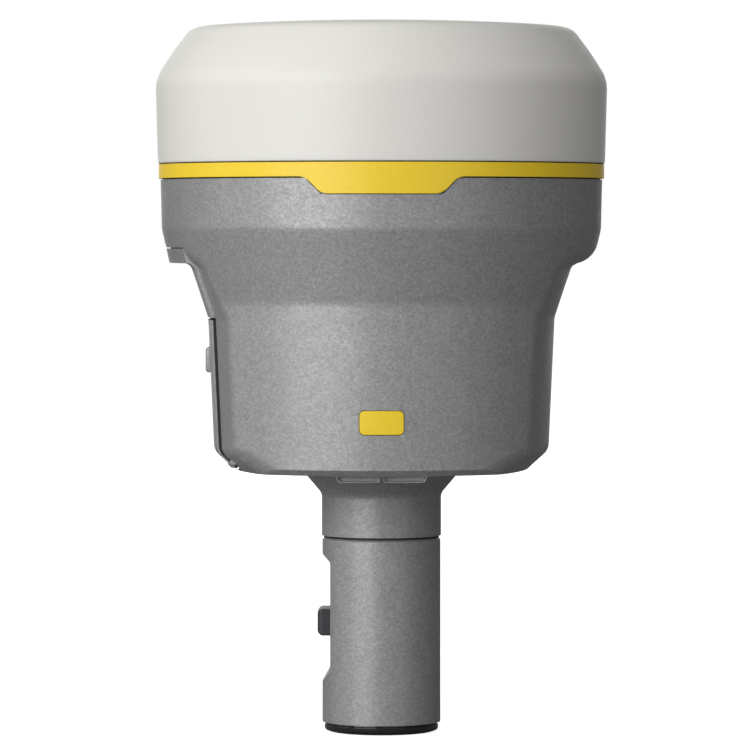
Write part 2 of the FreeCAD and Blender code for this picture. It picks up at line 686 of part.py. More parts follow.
def side_cut(body, name, side, inset, axis):
    """Take one bowed side away with a groove about an upright axis on the other side."""
    before = body.Shape.Volume
    sign = "" if side > 0 else "-1 * "
    rows = [
        ("(side_axis * 2)", "lip_height + " + inset),
        ("(lip_depth - %s)" % inset, "lip_height - lip_rise + " + inset, "lip_blend"),
        ("(side_waist - %s)" % inset, "side_waist_height", "side_waist_blend"),
        ("(side_foot - %s)" % inset, "side_foot_height + 0.4 * " + inset, "side_foot_blend"),
        ("(side_foot - side_bevel_depth - %s)" % inset, "side_foot_height - side_bevel + 0.4 * " + inset),
        ("(side_axis * 2)", "side_foot_height - side_bevel + 0.4 * " + inset)]
    sketch = sketch_on(body, FRONT_VIEW, name + "_outline")
    outline(sketch, [(sign + row[0],) + row[1:] for row in rows])
    far = FreeCAD.Vector(-side * number(axis), 0, 0)
    spindle = sketch.addGeometry(Part.LineSegment(far, far + FreeCAD.Vector(0, 10, 0)), True)
    pin_point(sketch, spindle, 1, "%s(-1) * %s" % (sign, axis), "0")
    pin_point(sketch, spindle, 2, "%s(-1) * %s" % (sign, axis), "floor_height")
    groove = body.newObject("PartDesign::Groove", name)
    groove.Profile = sketch
    groove.ReferenceAxis = (sketch, ["Axis0"])
    groove.Midplane = True
    groove.Angle = 110
    doc.recompute()
    if body.Shape.Volume >= before:
        raise RuntimeError(name + " cuts nothing")


def side_region(name, low, high, gap):
    """The block beside the left side that bounds the door or the bezel."""
    return box(name, ("-side_axis", "-door_half - " + gap, low + " - " + gap),
               ("side_axis - hinge_reach + door_toe + " + gap, "2 * door_half + 2 * " + gap,
                "%s - %s + 2 * %s" % (high, low, gap)))


def tab_prism(name, gap):
    """The sloped-sided outline of the trim ring's tab, running forwards from the axis."""
    slope = "(tab_top_half - tab_low_half) / tab_drop"
    low = "rim_height + seal_height - tab_drop - " + gap
    points = [
        ("-tab_low_half - " + gap, low), ("tab_low_half + " + gap, low),
        ("tab_top_half + %s + %s" % (slope, gap), "rim_height + seal_height + 1"),
        ("-tab_top_half - %s - %s" % (slope, gap), "rim_height + seal_height + 1")]
    return padded(name, FRONT_VIEW, points, "radome_radius + 5", midplane=False)


def plate_prism(name, width, height, middle, corner, far, depth, backwards):
    """A round-cornered upright plate standing off the XZ plane."""
    body = padded(name, FRONT_VIEW, rectangle(
        "-(%s) / 2" % width, "(%s) / 2" % width,
        "%s - (%s) / 2" % (middle, height), "%s + (%s) / 2" % (middle, height)),
        depth, midplane=False, backwards=backwards)
    fillet(body, corner, lambda edge: edge.BoundBox.YLength > number(depth) - 0.01, name + "_corners")
    body.Placement.Base = FreeCAD.Vector(0, number(far), 0)
    bind(body, "Placement.Base.y", far)
    return body


def make_housing():
    """The shell, the door and the bezel share one form, cut at different depths."""
    outer = housing_form("outer_form", "0", "rim_height")
    fillet(outer, "corner_blend", upright_corner, "corner_blends")
    cavity = housing_form("cavity_form", "shell_wall", "rim_height + 1")
    panel = housing_form("panel_form", "0", "rim_height", "panel_axis")
    seal_face = housing_form("seal_form", "door_lip", "rim_height", "panel_axis")
    door_back = housing_form("door_back_form", "door_wall", "rim_height + 1", "panel_axis")
    bezel_back = housing_form("bezel_back_form", "bezel_wall", "rim_height + 1", "panel_axis")

    lip = turned("locating_lip", [
        ("lip_radius - lip_wall", "rim_height - 3"), ("rim_radius - shell_wall + 0.4", "rim_height - 3"),
        ("rim_radius - shell_wall + 0.4", "rim_height"), ("lip_radius", "rim_height"),
        ("lip_radius", "lip_top"), ("lip_radius - lip_wall", "lip_top")])
    door_opening = side_region("door_opening", "door_low", "door_high", "panel_gap")
    bezel_room = side_region("bezel_seat_block", "bezel_low", "bezel_high", "bezel_gap")
    bezel_seat = minus("bezel_seat", bezel_room, [bezel_back])
    tab_seat = common("tab_seat", tab_prism("tab_seat_prism", "seat_gap"), turned("tab_seat_band", [
        ("tab_inner - seat_gap", "rim_height - tab_drop - 2"),
        ("radome_radius", "rim_height - tab_drop - 2"),
        ("radome_radius", "rim_height + 2"), ("tab_inner - seat_gap", "rim_height + 2")]))
    badge_seat = common("badge_seat", plate_prism(
        "badge_seat_prism", "badge_width + 2 * seat_gap", "badge_height + 2 * seat_gap", "badge_middle",
        "badge_corner", "-waist_radius + 5", "10", False),
        wall_band("badge_seat_band", "badge_proud + 2", "badge_depth + 2"))
    keypad_seat = common("keypad_seat", plate_prism(
        "keypad_seat_prism", "keypad_width + 2 * seat_gap", "keypad_height + 2 * seat_gap",
        "keypad_middle", "keypad_corner", "waist_radius - 8", "12", True),
        wall_band("keypad_seat_band", "keypad_proud + 2", "keypad_depth + 2"))
    key_well = cylinder("key_well", "key_radius + seat_gap", "12", (
        "-key_offset", "edge_radius - 10", "keypad_middle"), ALONG_Y)
    hinge_room = cylinder("hinge_room", "hinge_relief", "2 * door_half + 2 * panel_gap",
                          ("-hinge_reach", "-door_half - panel_gap", "hinge_height"), ALONG_Y)
    pin_hole = cylinder("hinge_pin_hole", "hinge_pin_radius", "2 * door_half + 2 * ear_width",
                        ("-hinge_reach", "-door_half - ear_width", "hinge_height"), ALONG_Y)
    ears = [common("ear_%d" % index, box("ear_block_%d" % index, (
        "-hinge_reach - 4", start, "floor_height"), ("8", "ear_width", "5.5")), outer)
        for index, start in enumerate(("door_half + panel_gap", "-door_half - panel_gap - ear_width"))]
    holes = floor_holes()
    shell = minus("bare_shell", outer, [cavity])
    whole = fused("full_shell", [shell, lip] + ears)
    tools = [door_opening, bezel_seat, tab_seat, badge_seat, keypad_seat, key_well, hinge_room,
             pin_hole] + holes
    keep(minus("lower_housing", whole, tools), "lower_housing")

    bezel_skin = common("bezel_skin", panel, side_region("bezel_block", "bezel_low", "bezel_high", "0"))
    keep(minus("side_bezel", bezel_skin, [bezel_back]), "side_bezel")
    make_door(panel, seal_face, door_back)


def upright_corner(edge):
    """Whether an edge is part of one of the four upright corners of the housing's form."""
    span = edge.BoundBox
    low = number("floor_height")
    high = number("lip_height")
    return (low + 3 < span.ZMin and span.ZMax < high and span.ZLength > 0.3
            and abs(span.YMin) > 24 and abs(span.YMax) > 24 and max(span.XLength, span.YLength) < 4)


def floor_holes():
    """Holes through the housing's floor for the neck, the screws and the fittings."""
    low = "floor_height - 1"
    deep = "shell_wall + 4"
    holes = [cylinder("neck_hole", "neck_bore", deep, ("0", "0", low)),
             cylinder("port_hole", "port_body", deep, ("0", "port_place", low))]
    for name, radius, turn in (("aerial_hole", "aerial_thread", 1), ("vent_hole", "vent_radius / 2", -1)):
        spot = ("fitting_place * cos(fitting_angle)", "%d * fitting_place * sin(fitting_angle)" % turn, low)
        holes.append(cylinder(name, radius, deep, spot))
    for index, (along, across) in enumerate(screw_spots()):
        holes.append(cylinder("screw_hole_%d" % index, "screw_shank", deep, (along, across, low)))
    return holes


def screw_spots():
    """Places of the four housing screws round the neck."""
    return [("%d * screw_place * cos(screw_angle)" % along, "%d * screw_place * sin(screw_angle)" % across)
            for along in (-1, 1) for across in (-1, 1)]


def make_door(panel, seal_face, door_back):
    """The battery door with its edge seal, knuckles, latch slot and the shelf under its spring."""
    skin = common("door_skin", panel, side_region("door_block", "door_low", "door_high", "0"))
    seal_skin = common("seal_skin", seal_face, side_region("seal_block", "door_low", "door_high", "0"))
    seal_middle = box("seal_middle", (
        "-side_axis", "-door_half + door_seal_wall", "door_low - 3"), (
        "side_axis", "2 * door_half - 2 * door_seal_wall", "door_high - door_low - door_seal_wall + 3"))
    bore = cylinder("door_pin_bore", "hinge_pin_radius + running_fit", "2 * door_half + 2", (
        "-hinge_reach", "-door_half - 1", "hinge_height"), ALONG_Y)
    seal = keep(minus("door_seal", seal_skin, [door_back, seal_middle, bore]), "door_seal")
    plate = minus("door_plate", skin, [door_back, seal])
    starts = ("-door_half + door_seal_wall", "door_half / 2 - door_seal_wall")
    knuckles = [cylinder("knuckle_%d" % index, "knuckle_radius", "door_half / 2", (
        "-hinge_reach", start, "hinge_height"), ALONG_Y) for index, start in enumerate(starts)]
    webs = [box("knuckle_web_%d" % index, ("-hinge_reach - 3.4", start, "hinge_height - 0.9"), (
        "3.2", "door_half / 2", "2.2")) for index, start in enumerate(starts)]
    shelf = box("spring_shelf_block", ("-side_foot + 1.2", "-3", "spring_shelf - 1.4"), (
        "side_foot - 1.2 - carriage_face + carriage_wall", "6", "1.4"))
    shelf_part = common("spring_shelf_part", shelf, panel)
    slot = box("latch_slot", (
        "-latch_face - 1", "-latch_width / 2 - seat_gap", "latch_low - latch_travel - seat_gap"), (
        "latch_face - carriage_face + 1", "latch_width + 2 * seat_gap",
        "latch_height + latch_travel + 2 * seat_gap"))
    web_parts = [common(web.Name + "_part", web, panel) for web in webs]
    joined = fused("door_joined", [plate, shelf_part] + knuckles + web_parts)
    keep(minus("battery_door", joined, [slot, bore]), "battery_door")
    pin = cylinder("hinge_pin", "hinge_pin_radius", "2 * door_half + 2 * ear_width", (
        "-hinge_reach", "-door_half - ear_width", "hinge_height"), ALONG_Y)
    keep(pin, "hinge_pin")


def make_latch():
    """The knob and its carriage, with the spring tongue and the return spring."""
    knob = box("knob_block", ("-latch_face", "-latch_width / 2", "latch_low"), (
        "latch_face - carriage_face", "latch_width", "latch_height"))
    carriage = box("carriage_block", ("-carriage_face", "-carriage_half", "carriage_low"), (
        "carriage_wall", "2 * carriage_half", "carriage_high - carriage_low"))
    whole = fused("latch_whole", [knob, carriage])
    doc.recompute()
    face = -number("latch_face")
    rounded = doc.addObject("Part::Fillet", "latch_knob")
    rounded.Base = whole
    rounded.Edges = [(index + 1, 0.8, 0.8) for index, edge in enumerate(whole.Shape.Edges)
                     if abs(edge.BoundBox.XMax - face) < 0.01]
    keep(rounded, "latch_knob")
    tongue = box("latch_tongue", ("-carriage_face", "-tongue_half", "carriage_high"), (
        "tongue_wall", "2 * tongue_half", "tongue_top - carriage_high"))
    keep(tongue, "latch_tongue")
    spring = coil("latch_spring", "latch_spring_radius", "latch_spring_wire", "latch_spring_turns",
                  "(carriage_low - spring_shelf)", (
                      "-carriage_face + carriage_wall / 2", "0", "spring_shelf"))
    keep(spring, "latch_spring")


# ---- battery -----------------------------------------------------------------------------------

def make_battery():
    body = padded("battery", FRONT_VIEW, rectangle(
        "-battery_front", "battery_length - battery_front", "battery_low", "battery_low + battery_height"),
        "battery_width")
    long_edges = number("battery_length") - 1
    fillet(body, "battery_edge", lambda edge: edge.BoundBox.XLength > long_edges, "battery_edges")
    keep(body, "battery")
    room = "(bay_gap + bay_wall)"
    bay = box("bay_block", (
        "-battery_front", "-battery_width / 2 - " + room, "battery_low - " + room), (
        "battery_length + contact_length + bay_wall", "battery_width + 2 * %s" % room,
        "battery_height + 2 * %s" % room))
    hollow = box("bay_hollow", (
        "-battery_front - 1", "-battery_width / 2 - bay_gap", "battery_low - bay_gap"), (
        "battery_length + contact_length + 1", "battery_width + 2 * bay_gap",
        "battery_height + 2 * bay_gap"))
    keep(minus("battery_bay", bay, [hollow]), "battery_bay")
    contacts = []
    for index in range(int(number("contact_count"))):
        across = "(%d - (contact_count - 1) / 2) * contact_pitch" % index
        contacts.append(cylinder("contact_%d" % index, "contact_radius", "contact_length", (
            "battery_length - battery_front", across, "battery_low + battery_height / 2"), ALONG_X))
    keep(group("battery_contacts", contacts), "battery_contacts")


# ---- badge, keypad and underside ---------------------------------------------------------------

def wall_band(name, proud, depth):
    """A thin band that follows the housing's turned wall, standing proud of it."""
    inward = "%s - (%s)" % (proud, depth)
    return turned(name, [
        ("edge_radius + " + inward, "edge_height"), ("edge_radius + " + proud, "edge_height"),
        ("waist_radius + " + proud, "waist_height"), ("waist_radius + " + inward, "waist_height")])


def make_badge():
    prism = plate_prism("badge_prism", "badge_width", "badge_height", "badge_middle", "badge_corner",
                        "-waist_radius + 5", "10", False)
    keep(common("badge_plate", wall_band("badge_band", "badge_proud", "badge_depth"), prism), "badge")


def make_keypad():
    """The curved keypad plate at the back, its power key and its lamps."""
    prism = plate_prism("keypad_prism", "keypad_width", "keypad_height", "keypad_middle",
                        "keypad_corner", "waist_radius - 8", "10", True)
    panel = common("keypad_plate", wall_band("keypad_band", "keypad_proud", "keypad_depth"), prism)
    key_hole = cylinder("key_hole", "key_radius + seat_gap", "12", (
        "-key_offset", "edge_radius - 10", "keypad_middle"), ALONG_Y)
    lamps = []
    holes = [key_hole]
    lamp_band = wall_band("lamp_band", "keypad_proud + lamp_proud", "keypad_depth + lamp_proud")
    for index in range(int(number("lamp_count"))):
        spot = ("key_offset + (%d - (lamp_count - 1) / 2) * lamp_pitch" % index,
                "waist_radius - 8", "keypad_middle")
        rod = cylinder("lamp_rod_%d" % index, "lamp_radius", "14", spot, ALONG_Y)
        lamps.append(common("lamp_%d" % index, lamp_band, rod))
        holes.append(cylinder("lamp_hole_%d" % index, "lamp_radius", "14", spot, ALONG_Y))
    keep(minus("keypad_panel", panel, holes), "keypad_panel")
    keep(group("status_lamps", lamps), "status_lamps")
    key = cylinder("power_button", "key_radius", "key_length", (
        "-key_offset", "edge_radius + key_proud - key_length", "keypad_middle"), ALONG_Y)
    keep(key, "power_button")


def make_underside():
    """Data port with its pins and cap, aerial socket, vent, hook lugs, label and screws."""
    port_top = "floor_height - port_flange + port_depth"
    port = turned("data_port", [
        ("port_bore", "floor_height - port_flange"), ("port_radius", "floor_height - port_flange"),
        ("port_radius", "floor_height"), ("port_body", "floor_height"), ("port_body", port_top),
        ("0", port_top), ("0", port_top + " - 1.5"), ("port_bore", port_top + " - 1.5")])
    bind(port, "Placement.Base.y", "port_place")
    keep(port, "data_port")
    pins = []
    for index in range(int(number("port_pin_count"))):
        along, across = polar(index, int(number("port_pin_count")))
        pins.append(cylinder("port_pin_%d" % index, "port_pin_radius", "2.2", (
            "%f * port_pin_circle" % along, "port_place + %f * port_pin_circle" % across,
            port_top + " - 1.5 - 2.2")))
    keep(group("port_pins", pins), "port_pins")
    lid = "floor_height - port_flange"
    cap = turned("data_port_cap", [
        ("0", lid + " - port_cap_wall"), ("port_radius", lid + " - port_cap_wall"), ("port_radius", lid),
        ("port_bore - running_fit", lid), ("port_bore - running_fit", lid + " + 3"), ("0", lid + " + 3")])
    fillet(cap, "0.5", circle_at(number("port_radius"), number(lid + " - port_cap_wall")), "cap_round")
    bind(cap, "Placement.Base.y", "port_place")
    keep(cap, "data_port_cap")
    tip = "floor_height - aerial_length"
    aerial = turned("radio_antenna_socket", [
        ("aerial_bore", tip), ("aerial_thread", tip), ("aerial_thread", "floor_height - 1.4"),
        ("aerial_radius", "floor_height - 1.4"), ("aerial_radius", "floor_height"),
        ("aerial_thread", "floor_height"), ("aerial_thread", "floor_height + shell_wall + 1"),
        ("0", "floor_height + shell_wall + 1"), ("0", "floor_height - 1"),
        ("aerial_bore", "floor_height - 1")])
    bind(aerial, "Placement.Base.x", "fitting_place * cos(fitting_angle)")
    bind(aerial, "Placement.Base.y", "fitting_place * sin(fitting_angle)")
    keep(aerial, "radio_antenna_socket")
    vent = turned("pressure_vent", [
        ("0", "floor_height - vent_height"), ("vent_radius", "floor_height - vent_height"),
        ("vent_radius", "floor_height"), ("vent_radius / 2", "floor_height"),
        ("vent_radius / 2", "floor_height + shell_wall"), ("0", "floor_height + shell_wall")])
    bind(vent, "Placement.Base.x", "fitting_place * cos(fitting_angle)")
    bind(vent, "Placement.Base.y", "-fitting_place * sin(fitting_angle)")
    keep(vent, "pressure_vent")
    lugs = []
    for index, side in enumerate((-1, 1)):
        near = "%d * lug_split / 2" % side
        wide = "%d * lug_half" % side
        lug = padded("lug_%d" % index, FRONT_VIEW, [
            (near, "floor_height - lug_height"), (wide + " - %d * 0.8" % side, "floor_height - lug_height"),
            (wide, "floor_height"), (near, "floor_height")], "lug_depth", midplane=False)
        bind(lug, "Placement.Base.y", "-lug_front + lug_depth")
        lugs.append(lug)
    keep(group("hook_lugs", lugs), "hook_lugs")
    label = box("plain_label", ("-label_width / 2", "-label_place - label_height / 2",
                                "floor_height - label_wall"), ("label_width", "label_height", "label_wall"))
    keep(label, "plain_label")
    screws = []
    for index, (along, across) in enumerate(screw_spots()):
        head = cylinder("housing_screw_head_%d" % index, "screw_head", "1.2", (
            along, across, "floor_height - 1.2"))
        shank = cylinder("housing_screw_shank_%d" % index, "screw_shank", "screw_length", (
            along, across, "floor_height"))
        screws.append(fused("housing_screw_%d" % index, [head, shank]))
    keep(group("bottom_screws", screws), "bottom_screws")


# ---- trim ring and radome ----------------------------------------------------------------------

def make_trim_ring():
    low = "rim_height + seal_height"
    seal = turned("rim_seal", [
        ("ring_bore", "rim_height"), ("seal_radius", "rim_height"), ("seal_radius", low),
        ("ring_bore", low)])
    tab_room = common("seal_tab_room", tab_prism("seal_tab_prism", "seat_gap"), turned("seal_tab_band", [
        ("tab_inner - seat_gap", "rim_height - 1"), ("radome_radius", "rim_height - 1"),
        ("radome_radius", "rim_height + 1"), ("tab_inner - seat_gap", "rim_height + 1")]))
    keep(minus("housing_seal", seal, [tab_room]), "housing_seal")
    ring = turned("ring_band", [
        ("ring_bore", low), ("ring_radius", low), ("ring_radius", low + " + ring_height"),
        ("ring_bore", low + " + ring_height")])
    tab = common("ring_tab", tab_prism("tab_prism", "0"), turned("tab_band", [
        ("tab_inner", low + " - tab_drop - 1"), ("ring_radius", low + " - tab_drop - 1"),
        ("ring_radius", low + " + 0.5"), ("tab_inner", low + " + 0.5")]))
    keep(fused("trim_ring", [ring, tab]), "trim_ring")
    top = low + " + ring_height"
    gasket = turned("radome_gasket", [
        ("ring_bore", top), ("ring_radius - seat_gap", top),
        ("ring_radius - seat_gap", top + " + radome_seal"), ("ring_bore", top + " + radome_seal")])
    keep(gasket, "radome_gasket")


def make_radome():
    foot = "rim_height + seal_height + ring_height + radome_seal"
    body = turned("radome", [
        ("radome_foot - radome_wall", foot), ("radome_foot", foot),
        ("radome_radius", "radome_shoulder"), ("dome_radius", "dome_edge"), ("0", "dome_top"),
        ("0", "dome_top - radome_wall"), ("dome_radius - radome_wall / 2", "dome_edge - radome_wall"),
        ("radome_radius - radome_wall", "radome_shoulder - radome_wall / 2")], domed=3)
    shoulder = circle_at(number("radome_radius"), number("radome_shoulder"))
    edge = circle_at(number("dome_radius"), number("dome_edge"))
    fillet(body, "shoulder_blend", shoulder, "shoulder_round")
    fillet(body, "dome_blend", edge, "dome_round")
    keep(body, "radome")


# ---- aerial and electronics --------------------------------------------------------------------

def disc(label, radius, height, low):
    return keep(cylinder(label, radius, height, ("0", "0", low)), label)


def make_aerial():
    plane_top = "lip_top + plane_wall"
    board_low = plane_top + " + spacer_height"
    board_top = board_low + " + board_wall"
    disc("ground_plane", "plane_radius", "plane_wall", "lip_top")
    spacers = []
    for index in range(4):
        along, across = polar(index, 4, 45)
        spacers.append(cylinder("spacer_%d" % index, "spacer_radius", "spacer_height", (
            "%f * spacer_place" % along, "%f * spacer_place" % across, plane_top)))
    keep(group("antenna_spacers", spacers), "antenna_spacers")
    disc("antenna_board", "aerial_board_radius", "board_wall", board_low)
    disc("lower_patch", "patch_radius", "patch_height", board_top)
    disc("upper_patch", "top_patch_radius", "top_patch_height", board_top + " + patch_height")
    disc("amplifier_shield", "shield_radius", "shield_height", "lip_top - shield_height")


def make_electronics():
    """Chassis plate on its posts, the main board on its standoffs and what is fitted to it."""
    chassis_top = "chassis_height + chassis_wall"
    disc("chassis_plate", "chassis_radius", "chassis_wall", "chassis_height")
    posts = []
    post_height = "chassis_height - floor_height - shell_wall"
    post_back = "battery_width / 2 + bay_gap + bay_wall + post_clear + post_radius"
    for index, (along, across) in enumerate(((-1, -1), (-1, 1), (1, -1), (1, 1))):
        posts.append(cylinder("post_%d" % index, "post_radius", post_height, (
            "%d * post_side" % along, "%d * (%s)" % (across, post_back), "floor_height + shell_wall")))
    keep(group("chassis_posts", posts), "chassis_posts")
    board_low = chassis_top + " + standoff_height"
    board_top = board_low + " + board_wall"
    standoffs = []
    screws = []
    screw_holes = []
    for index in range(4):
        along, across = polar(index, 4, 45)
        spot = ("%f * standoff_place" % along, "%f * standoff_place" % across)
        post = cylinder("standoff_post_%d" % index, "standoff_radius", "standoff_height",
                        spot + (chassis_top,))
        bore = cylinder("standoff_bore_%d" % index, "board_screw_shank", "board_screw_length", spot + (
            board_top + " - board_screw_length",))
        standoffs.append(minus("standoff_%d" % index, post, [bore]))
        screw_holes.append(cylinder("board_hole_%d" % index, "board_screw_shank", "board_wall + 2", spot + (
            board_low + " - 1",)))
        head = cylinder("board_screw_head_%d" % index, "board_screw_head", "board_screw_top",
                        spot + (board_top,))
        shank = cylinder("board_screw_shank_%d" % index, "board_screw_shank", "board_screw_length", spot + (
            board_top + " - board_screw_length",))
        screws.append(fused("board_screw_%d" % index, [head, shank]))
    keep(group("board_standoffs", standoffs), "board_standoffs")
    board = cylinder("main_board_disc", "main_board_radius", "board_wall", ("0", "0", board_low))
    keep(minus("main_board", board, screw_holes), "main_board")
    keep(group("board_screws", screws), "board_screws")
    keep(box("processor_shield", ("-chip_width / 2", "module_gap + plug_radius", board_top), (
        "chip_width", "chip_depth", "chip_height")), "processor_shield")
    keep(box("radio_module", ("-radio_width / 2", "-module_gap - plug_radius - radio_depth", board_top), (
        "radio_width", "radio_depth", "radio_height")), "radio_module")
    plug_top = "lip_top - shield_height - plug_height"
    plugs = [cylinder("lower_plug", "plug_radius", "plug_height", ("lead_place", "0", board_top)),
             cylinder("upper_plug", "plug_radius", "plug_height", ("lead_place", "0", plug_top))]
    keep(group("coax_connectors", plugs), "coax_connectors")
    keep(cylinder("coax_lead", "lead_radius", "%s - (%s) - plug_height" % (plug_top, board_top), (
        "lead_place", "0", board_top + " + plug_height")), "coax_lead")


def write_out():
    """Check every object and sub-part, then write one file for each sub-part."""
    doc.recompute()
    for thing in doc.Objects:
        if "Invalid" in thing.State or "Error" in thing.State:
            raise RuntimeError("%s failed: %s" % (thing.Label, thing.State))
    for thing in SUBPARTS:
        if thing.Shape.isNull() or not thing.Shape.isValid() or not thing.Shape.Solids:
            raise RuntimeError(thing.Label + " has no sound shape")
    os.makedirs("parts", exist_ok=True)
    for thing in SUBPARTS:
        thing.Shape.exportStep("parts/%s.step" % thing.Label)
    print("%d sub-parts written" % len(SUBPARTS))


fill_sheet()
make_base_ring()
make_thread_insert()
make_adapter()
make_release_button()
make_release_parts()
make_lock_clip()
make_spigot()
make_neck()
make_housing()
make_latch()
make_battery()
make_badge()
make_keypad()
make_underside()
make_trim_ring()
make_radome()
make_aerial()
make_electronics()
write_out()
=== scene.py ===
"""Looks of a satellite positioning receiver on its quick-release pole adapter.

All lengths are in metres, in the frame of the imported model: +Z up, -Y the front.
"""

import json
import logging
import math
from dataclasses import dataclass, field
from enum import Enum
from typing import Iterable, Sequence

import bmesh
import bpy
from mathutils import Matrix, Vector

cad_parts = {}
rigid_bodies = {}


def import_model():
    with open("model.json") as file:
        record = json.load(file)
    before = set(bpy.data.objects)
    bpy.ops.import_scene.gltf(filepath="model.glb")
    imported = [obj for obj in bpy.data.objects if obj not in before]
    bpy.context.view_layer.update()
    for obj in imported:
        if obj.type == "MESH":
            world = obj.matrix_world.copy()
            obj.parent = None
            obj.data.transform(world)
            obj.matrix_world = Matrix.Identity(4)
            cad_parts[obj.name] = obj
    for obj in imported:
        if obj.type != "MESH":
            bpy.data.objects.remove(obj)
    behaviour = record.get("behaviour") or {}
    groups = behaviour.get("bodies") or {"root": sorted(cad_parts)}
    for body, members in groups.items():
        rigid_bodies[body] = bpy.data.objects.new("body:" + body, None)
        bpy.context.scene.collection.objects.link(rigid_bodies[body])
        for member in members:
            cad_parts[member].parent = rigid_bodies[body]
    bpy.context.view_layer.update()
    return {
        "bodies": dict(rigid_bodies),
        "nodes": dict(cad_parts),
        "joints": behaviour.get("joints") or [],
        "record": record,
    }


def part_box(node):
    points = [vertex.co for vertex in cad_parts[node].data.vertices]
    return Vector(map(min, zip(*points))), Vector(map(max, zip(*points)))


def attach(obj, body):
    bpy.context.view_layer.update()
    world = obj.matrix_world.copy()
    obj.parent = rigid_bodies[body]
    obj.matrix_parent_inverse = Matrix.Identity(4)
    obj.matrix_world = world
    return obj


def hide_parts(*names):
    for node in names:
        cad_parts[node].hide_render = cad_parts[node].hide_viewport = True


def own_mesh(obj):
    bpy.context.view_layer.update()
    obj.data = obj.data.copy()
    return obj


LOG = logging.getLogger("receiver")
MM = 0.001


class Body(str, Enum):
    """The rigid groups that pieces ride on."""

    ADAPTER = "adapter"
    BUTTON = "release_button"
    RECEIVER = "receiver"
    DOOR = "battery_door"
    LATCH = "door_latch"
    KEY = "power_button"
    CAP = "data_port_cap"


class Axis(Enum):
    """A row axis, as a unit direction."""

    X = (1, 0, 0)
    Y = (0, 1, 0)
    Z = (0, 0, 1)


# ---- finishes ----------------------------------------------------------------------------------

@dataclass(frozen=True)
class Finish:
    """A plain finish: one colour with a fine grain in its tone, gloss and surface.

    Attributes:
        name: the material's name and the record's slot.
        colour: base colour, linear RGB.
        roughness: middle roughness.
        metallic: share of metal.
        grain: size of the grain in metres.
        tone: how far the grain moves the colour, as a share.
        relief: height of the grain's bump in metres.
        gloss_spread: how far the grain moves the roughness.
        coat: weight of a clear coat.
    """

    name: str
    colour: tuple[float, float, float]
    roughness: float = 0.5
    metallic: float = 0.0
    grain: float = 0.0008
    tone: float = 0.06
    relief: float = 0.00001
    gloss_spread: float = 0.08
    coat: float = 0.0

    def material(self) -> bpy.types.Material:
        """Build the node material.

        Returns:
            The new material, with its pattern on Object coordinates.
        """
        material = bpy.data.materials.new(self.name)
        material.use_nodes = True
        tree = material.node_tree
        shader = tree.nodes["Principled BSDF"]
        shader.inputs["Metallic"].default_value = self.metallic
        if self.coat:
            shader.inputs["Coat Weight"].default_value = self.coat
            shader.inputs["Coat Roughness"].default_value = 0.12
        where = tree.nodes.new("ShaderNodeTexCoord").outputs["Object"]
        self.pattern(tree, where, shader)
        return material

    def pattern(self, tree: bpy.types.NodeTree, where: bpy.types.NodeSocket,
                shader: bpy.types.Node) -> None:
        """Drive colour, roughness and bump from one noise.

        Args:
            tree: the material's node tree.
            where: the Object coordinates.
            shader: the surface shader.
        """
        grain = noise(tree, where, self.grain, 3.0)
        low = shade(self.colour, 1.0 - self.tone)
        high = shade(self.colour, 1.0 + self.tone)
        link(tree, ramp(tree, grain, ((0.3, low), (0.7, high))), shader.inputs["Base Color"])
        link(tree, spread(tree, grain, self.roughness, self.gloss_spread), shader.inputs["Roughness"])
        link(tree, bump(tree, grain, self.relief), shader.inputs["Normal"])


@dataclass(frozen=True)
class SpeckledPaint(Finish):
    """Metallic paint with light and dark flakes over a fine texture.

    Attributes:
        flake: size of a flake in metres.
        flake_tone: how far the flakes move the colour, as a share.
    """

    flake: float = 0.00045
    flake_tone: float = 0.3

    def pattern(self, tree: bpy.types.NodeTree, where: bpy.types.NodeSocket,
                shader: bpy.types.Node) -> None:
        """Mix two sizes of flake into the colour and lay a fine orange peel under them."""
        cells = tree.nodes.new("ShaderNodeTexVoronoi")
        cells.inputs["Scale"].default_value = 1.0 / self.flake
        link(tree, where, cells.inputs["Vector"])
        tone = tree.nodes.new("ShaderNodeSeparateColor")
        link(tree, cells.outputs["Color"], tone.inputs["Color"])
        stops = ((0.0, shade(self.colour, 1.0 - self.flake_tone)), (0.45, self.colour),
                 (0.8, shade(self.colour, 1.0 + 0.35 * self.flake_tone)),
                 (1.0, shade(self.colour, 1.0 + 1.3 * self.flake_tone)))
        flakes = ramp(tree, tone.outputs["Red"], stops)
        clouds = noise(tree, where, self.grain * 6.0, 2.0)
        wash = ramp(tree, clouds, ((0.3, shade(self.colour, 1.0 - self.tone)),
                                   (0.7, shade(self.colour, 1.0 + self.tone))))
        link(tree, blend_colours(tree, flakes, wash, 0.45), shader.inputs["Base Color"])
        link(tree, spread(tree, tone.outputs["Green"], self.roughness, self.gloss_spread),
             shader.inputs["Roughness"])
        peel = noise(tree, where, self.grain, 2.0)
        link(tree, bump(tree, peel, self.relief), shader.inputs["Normal"])


@dataclass(frozen=True)
class DrawnMetal(Finish):
    """Metal with fine tool marks along one axis.

    Attributes:
        along: the axis that the marks run along.
        stretch: how many times longer than wide a mark is.
    """

    along: Axis = Axis.Z
    stretch: float = 30.0

    def pattern(self, tree: bpy.types.NodeTree, where: bpy.types.NodeSocket,
                shader: bpy.types.Node) -> None:
        """Stretch the grain along the marks' axis."""
        mapping = tree.nodes.new("ShaderNodeMapping")
        squeeze = [1.0 - part * (1.0 - 1.0 / self.stretch) for part in self.along.value]
        mapping.inputs["Scale"].default_value = squeeze
        link(tree, where, mapping.inputs["Vector"])
        super().pattern(tree, mapping.outputs["Vector"], shader)


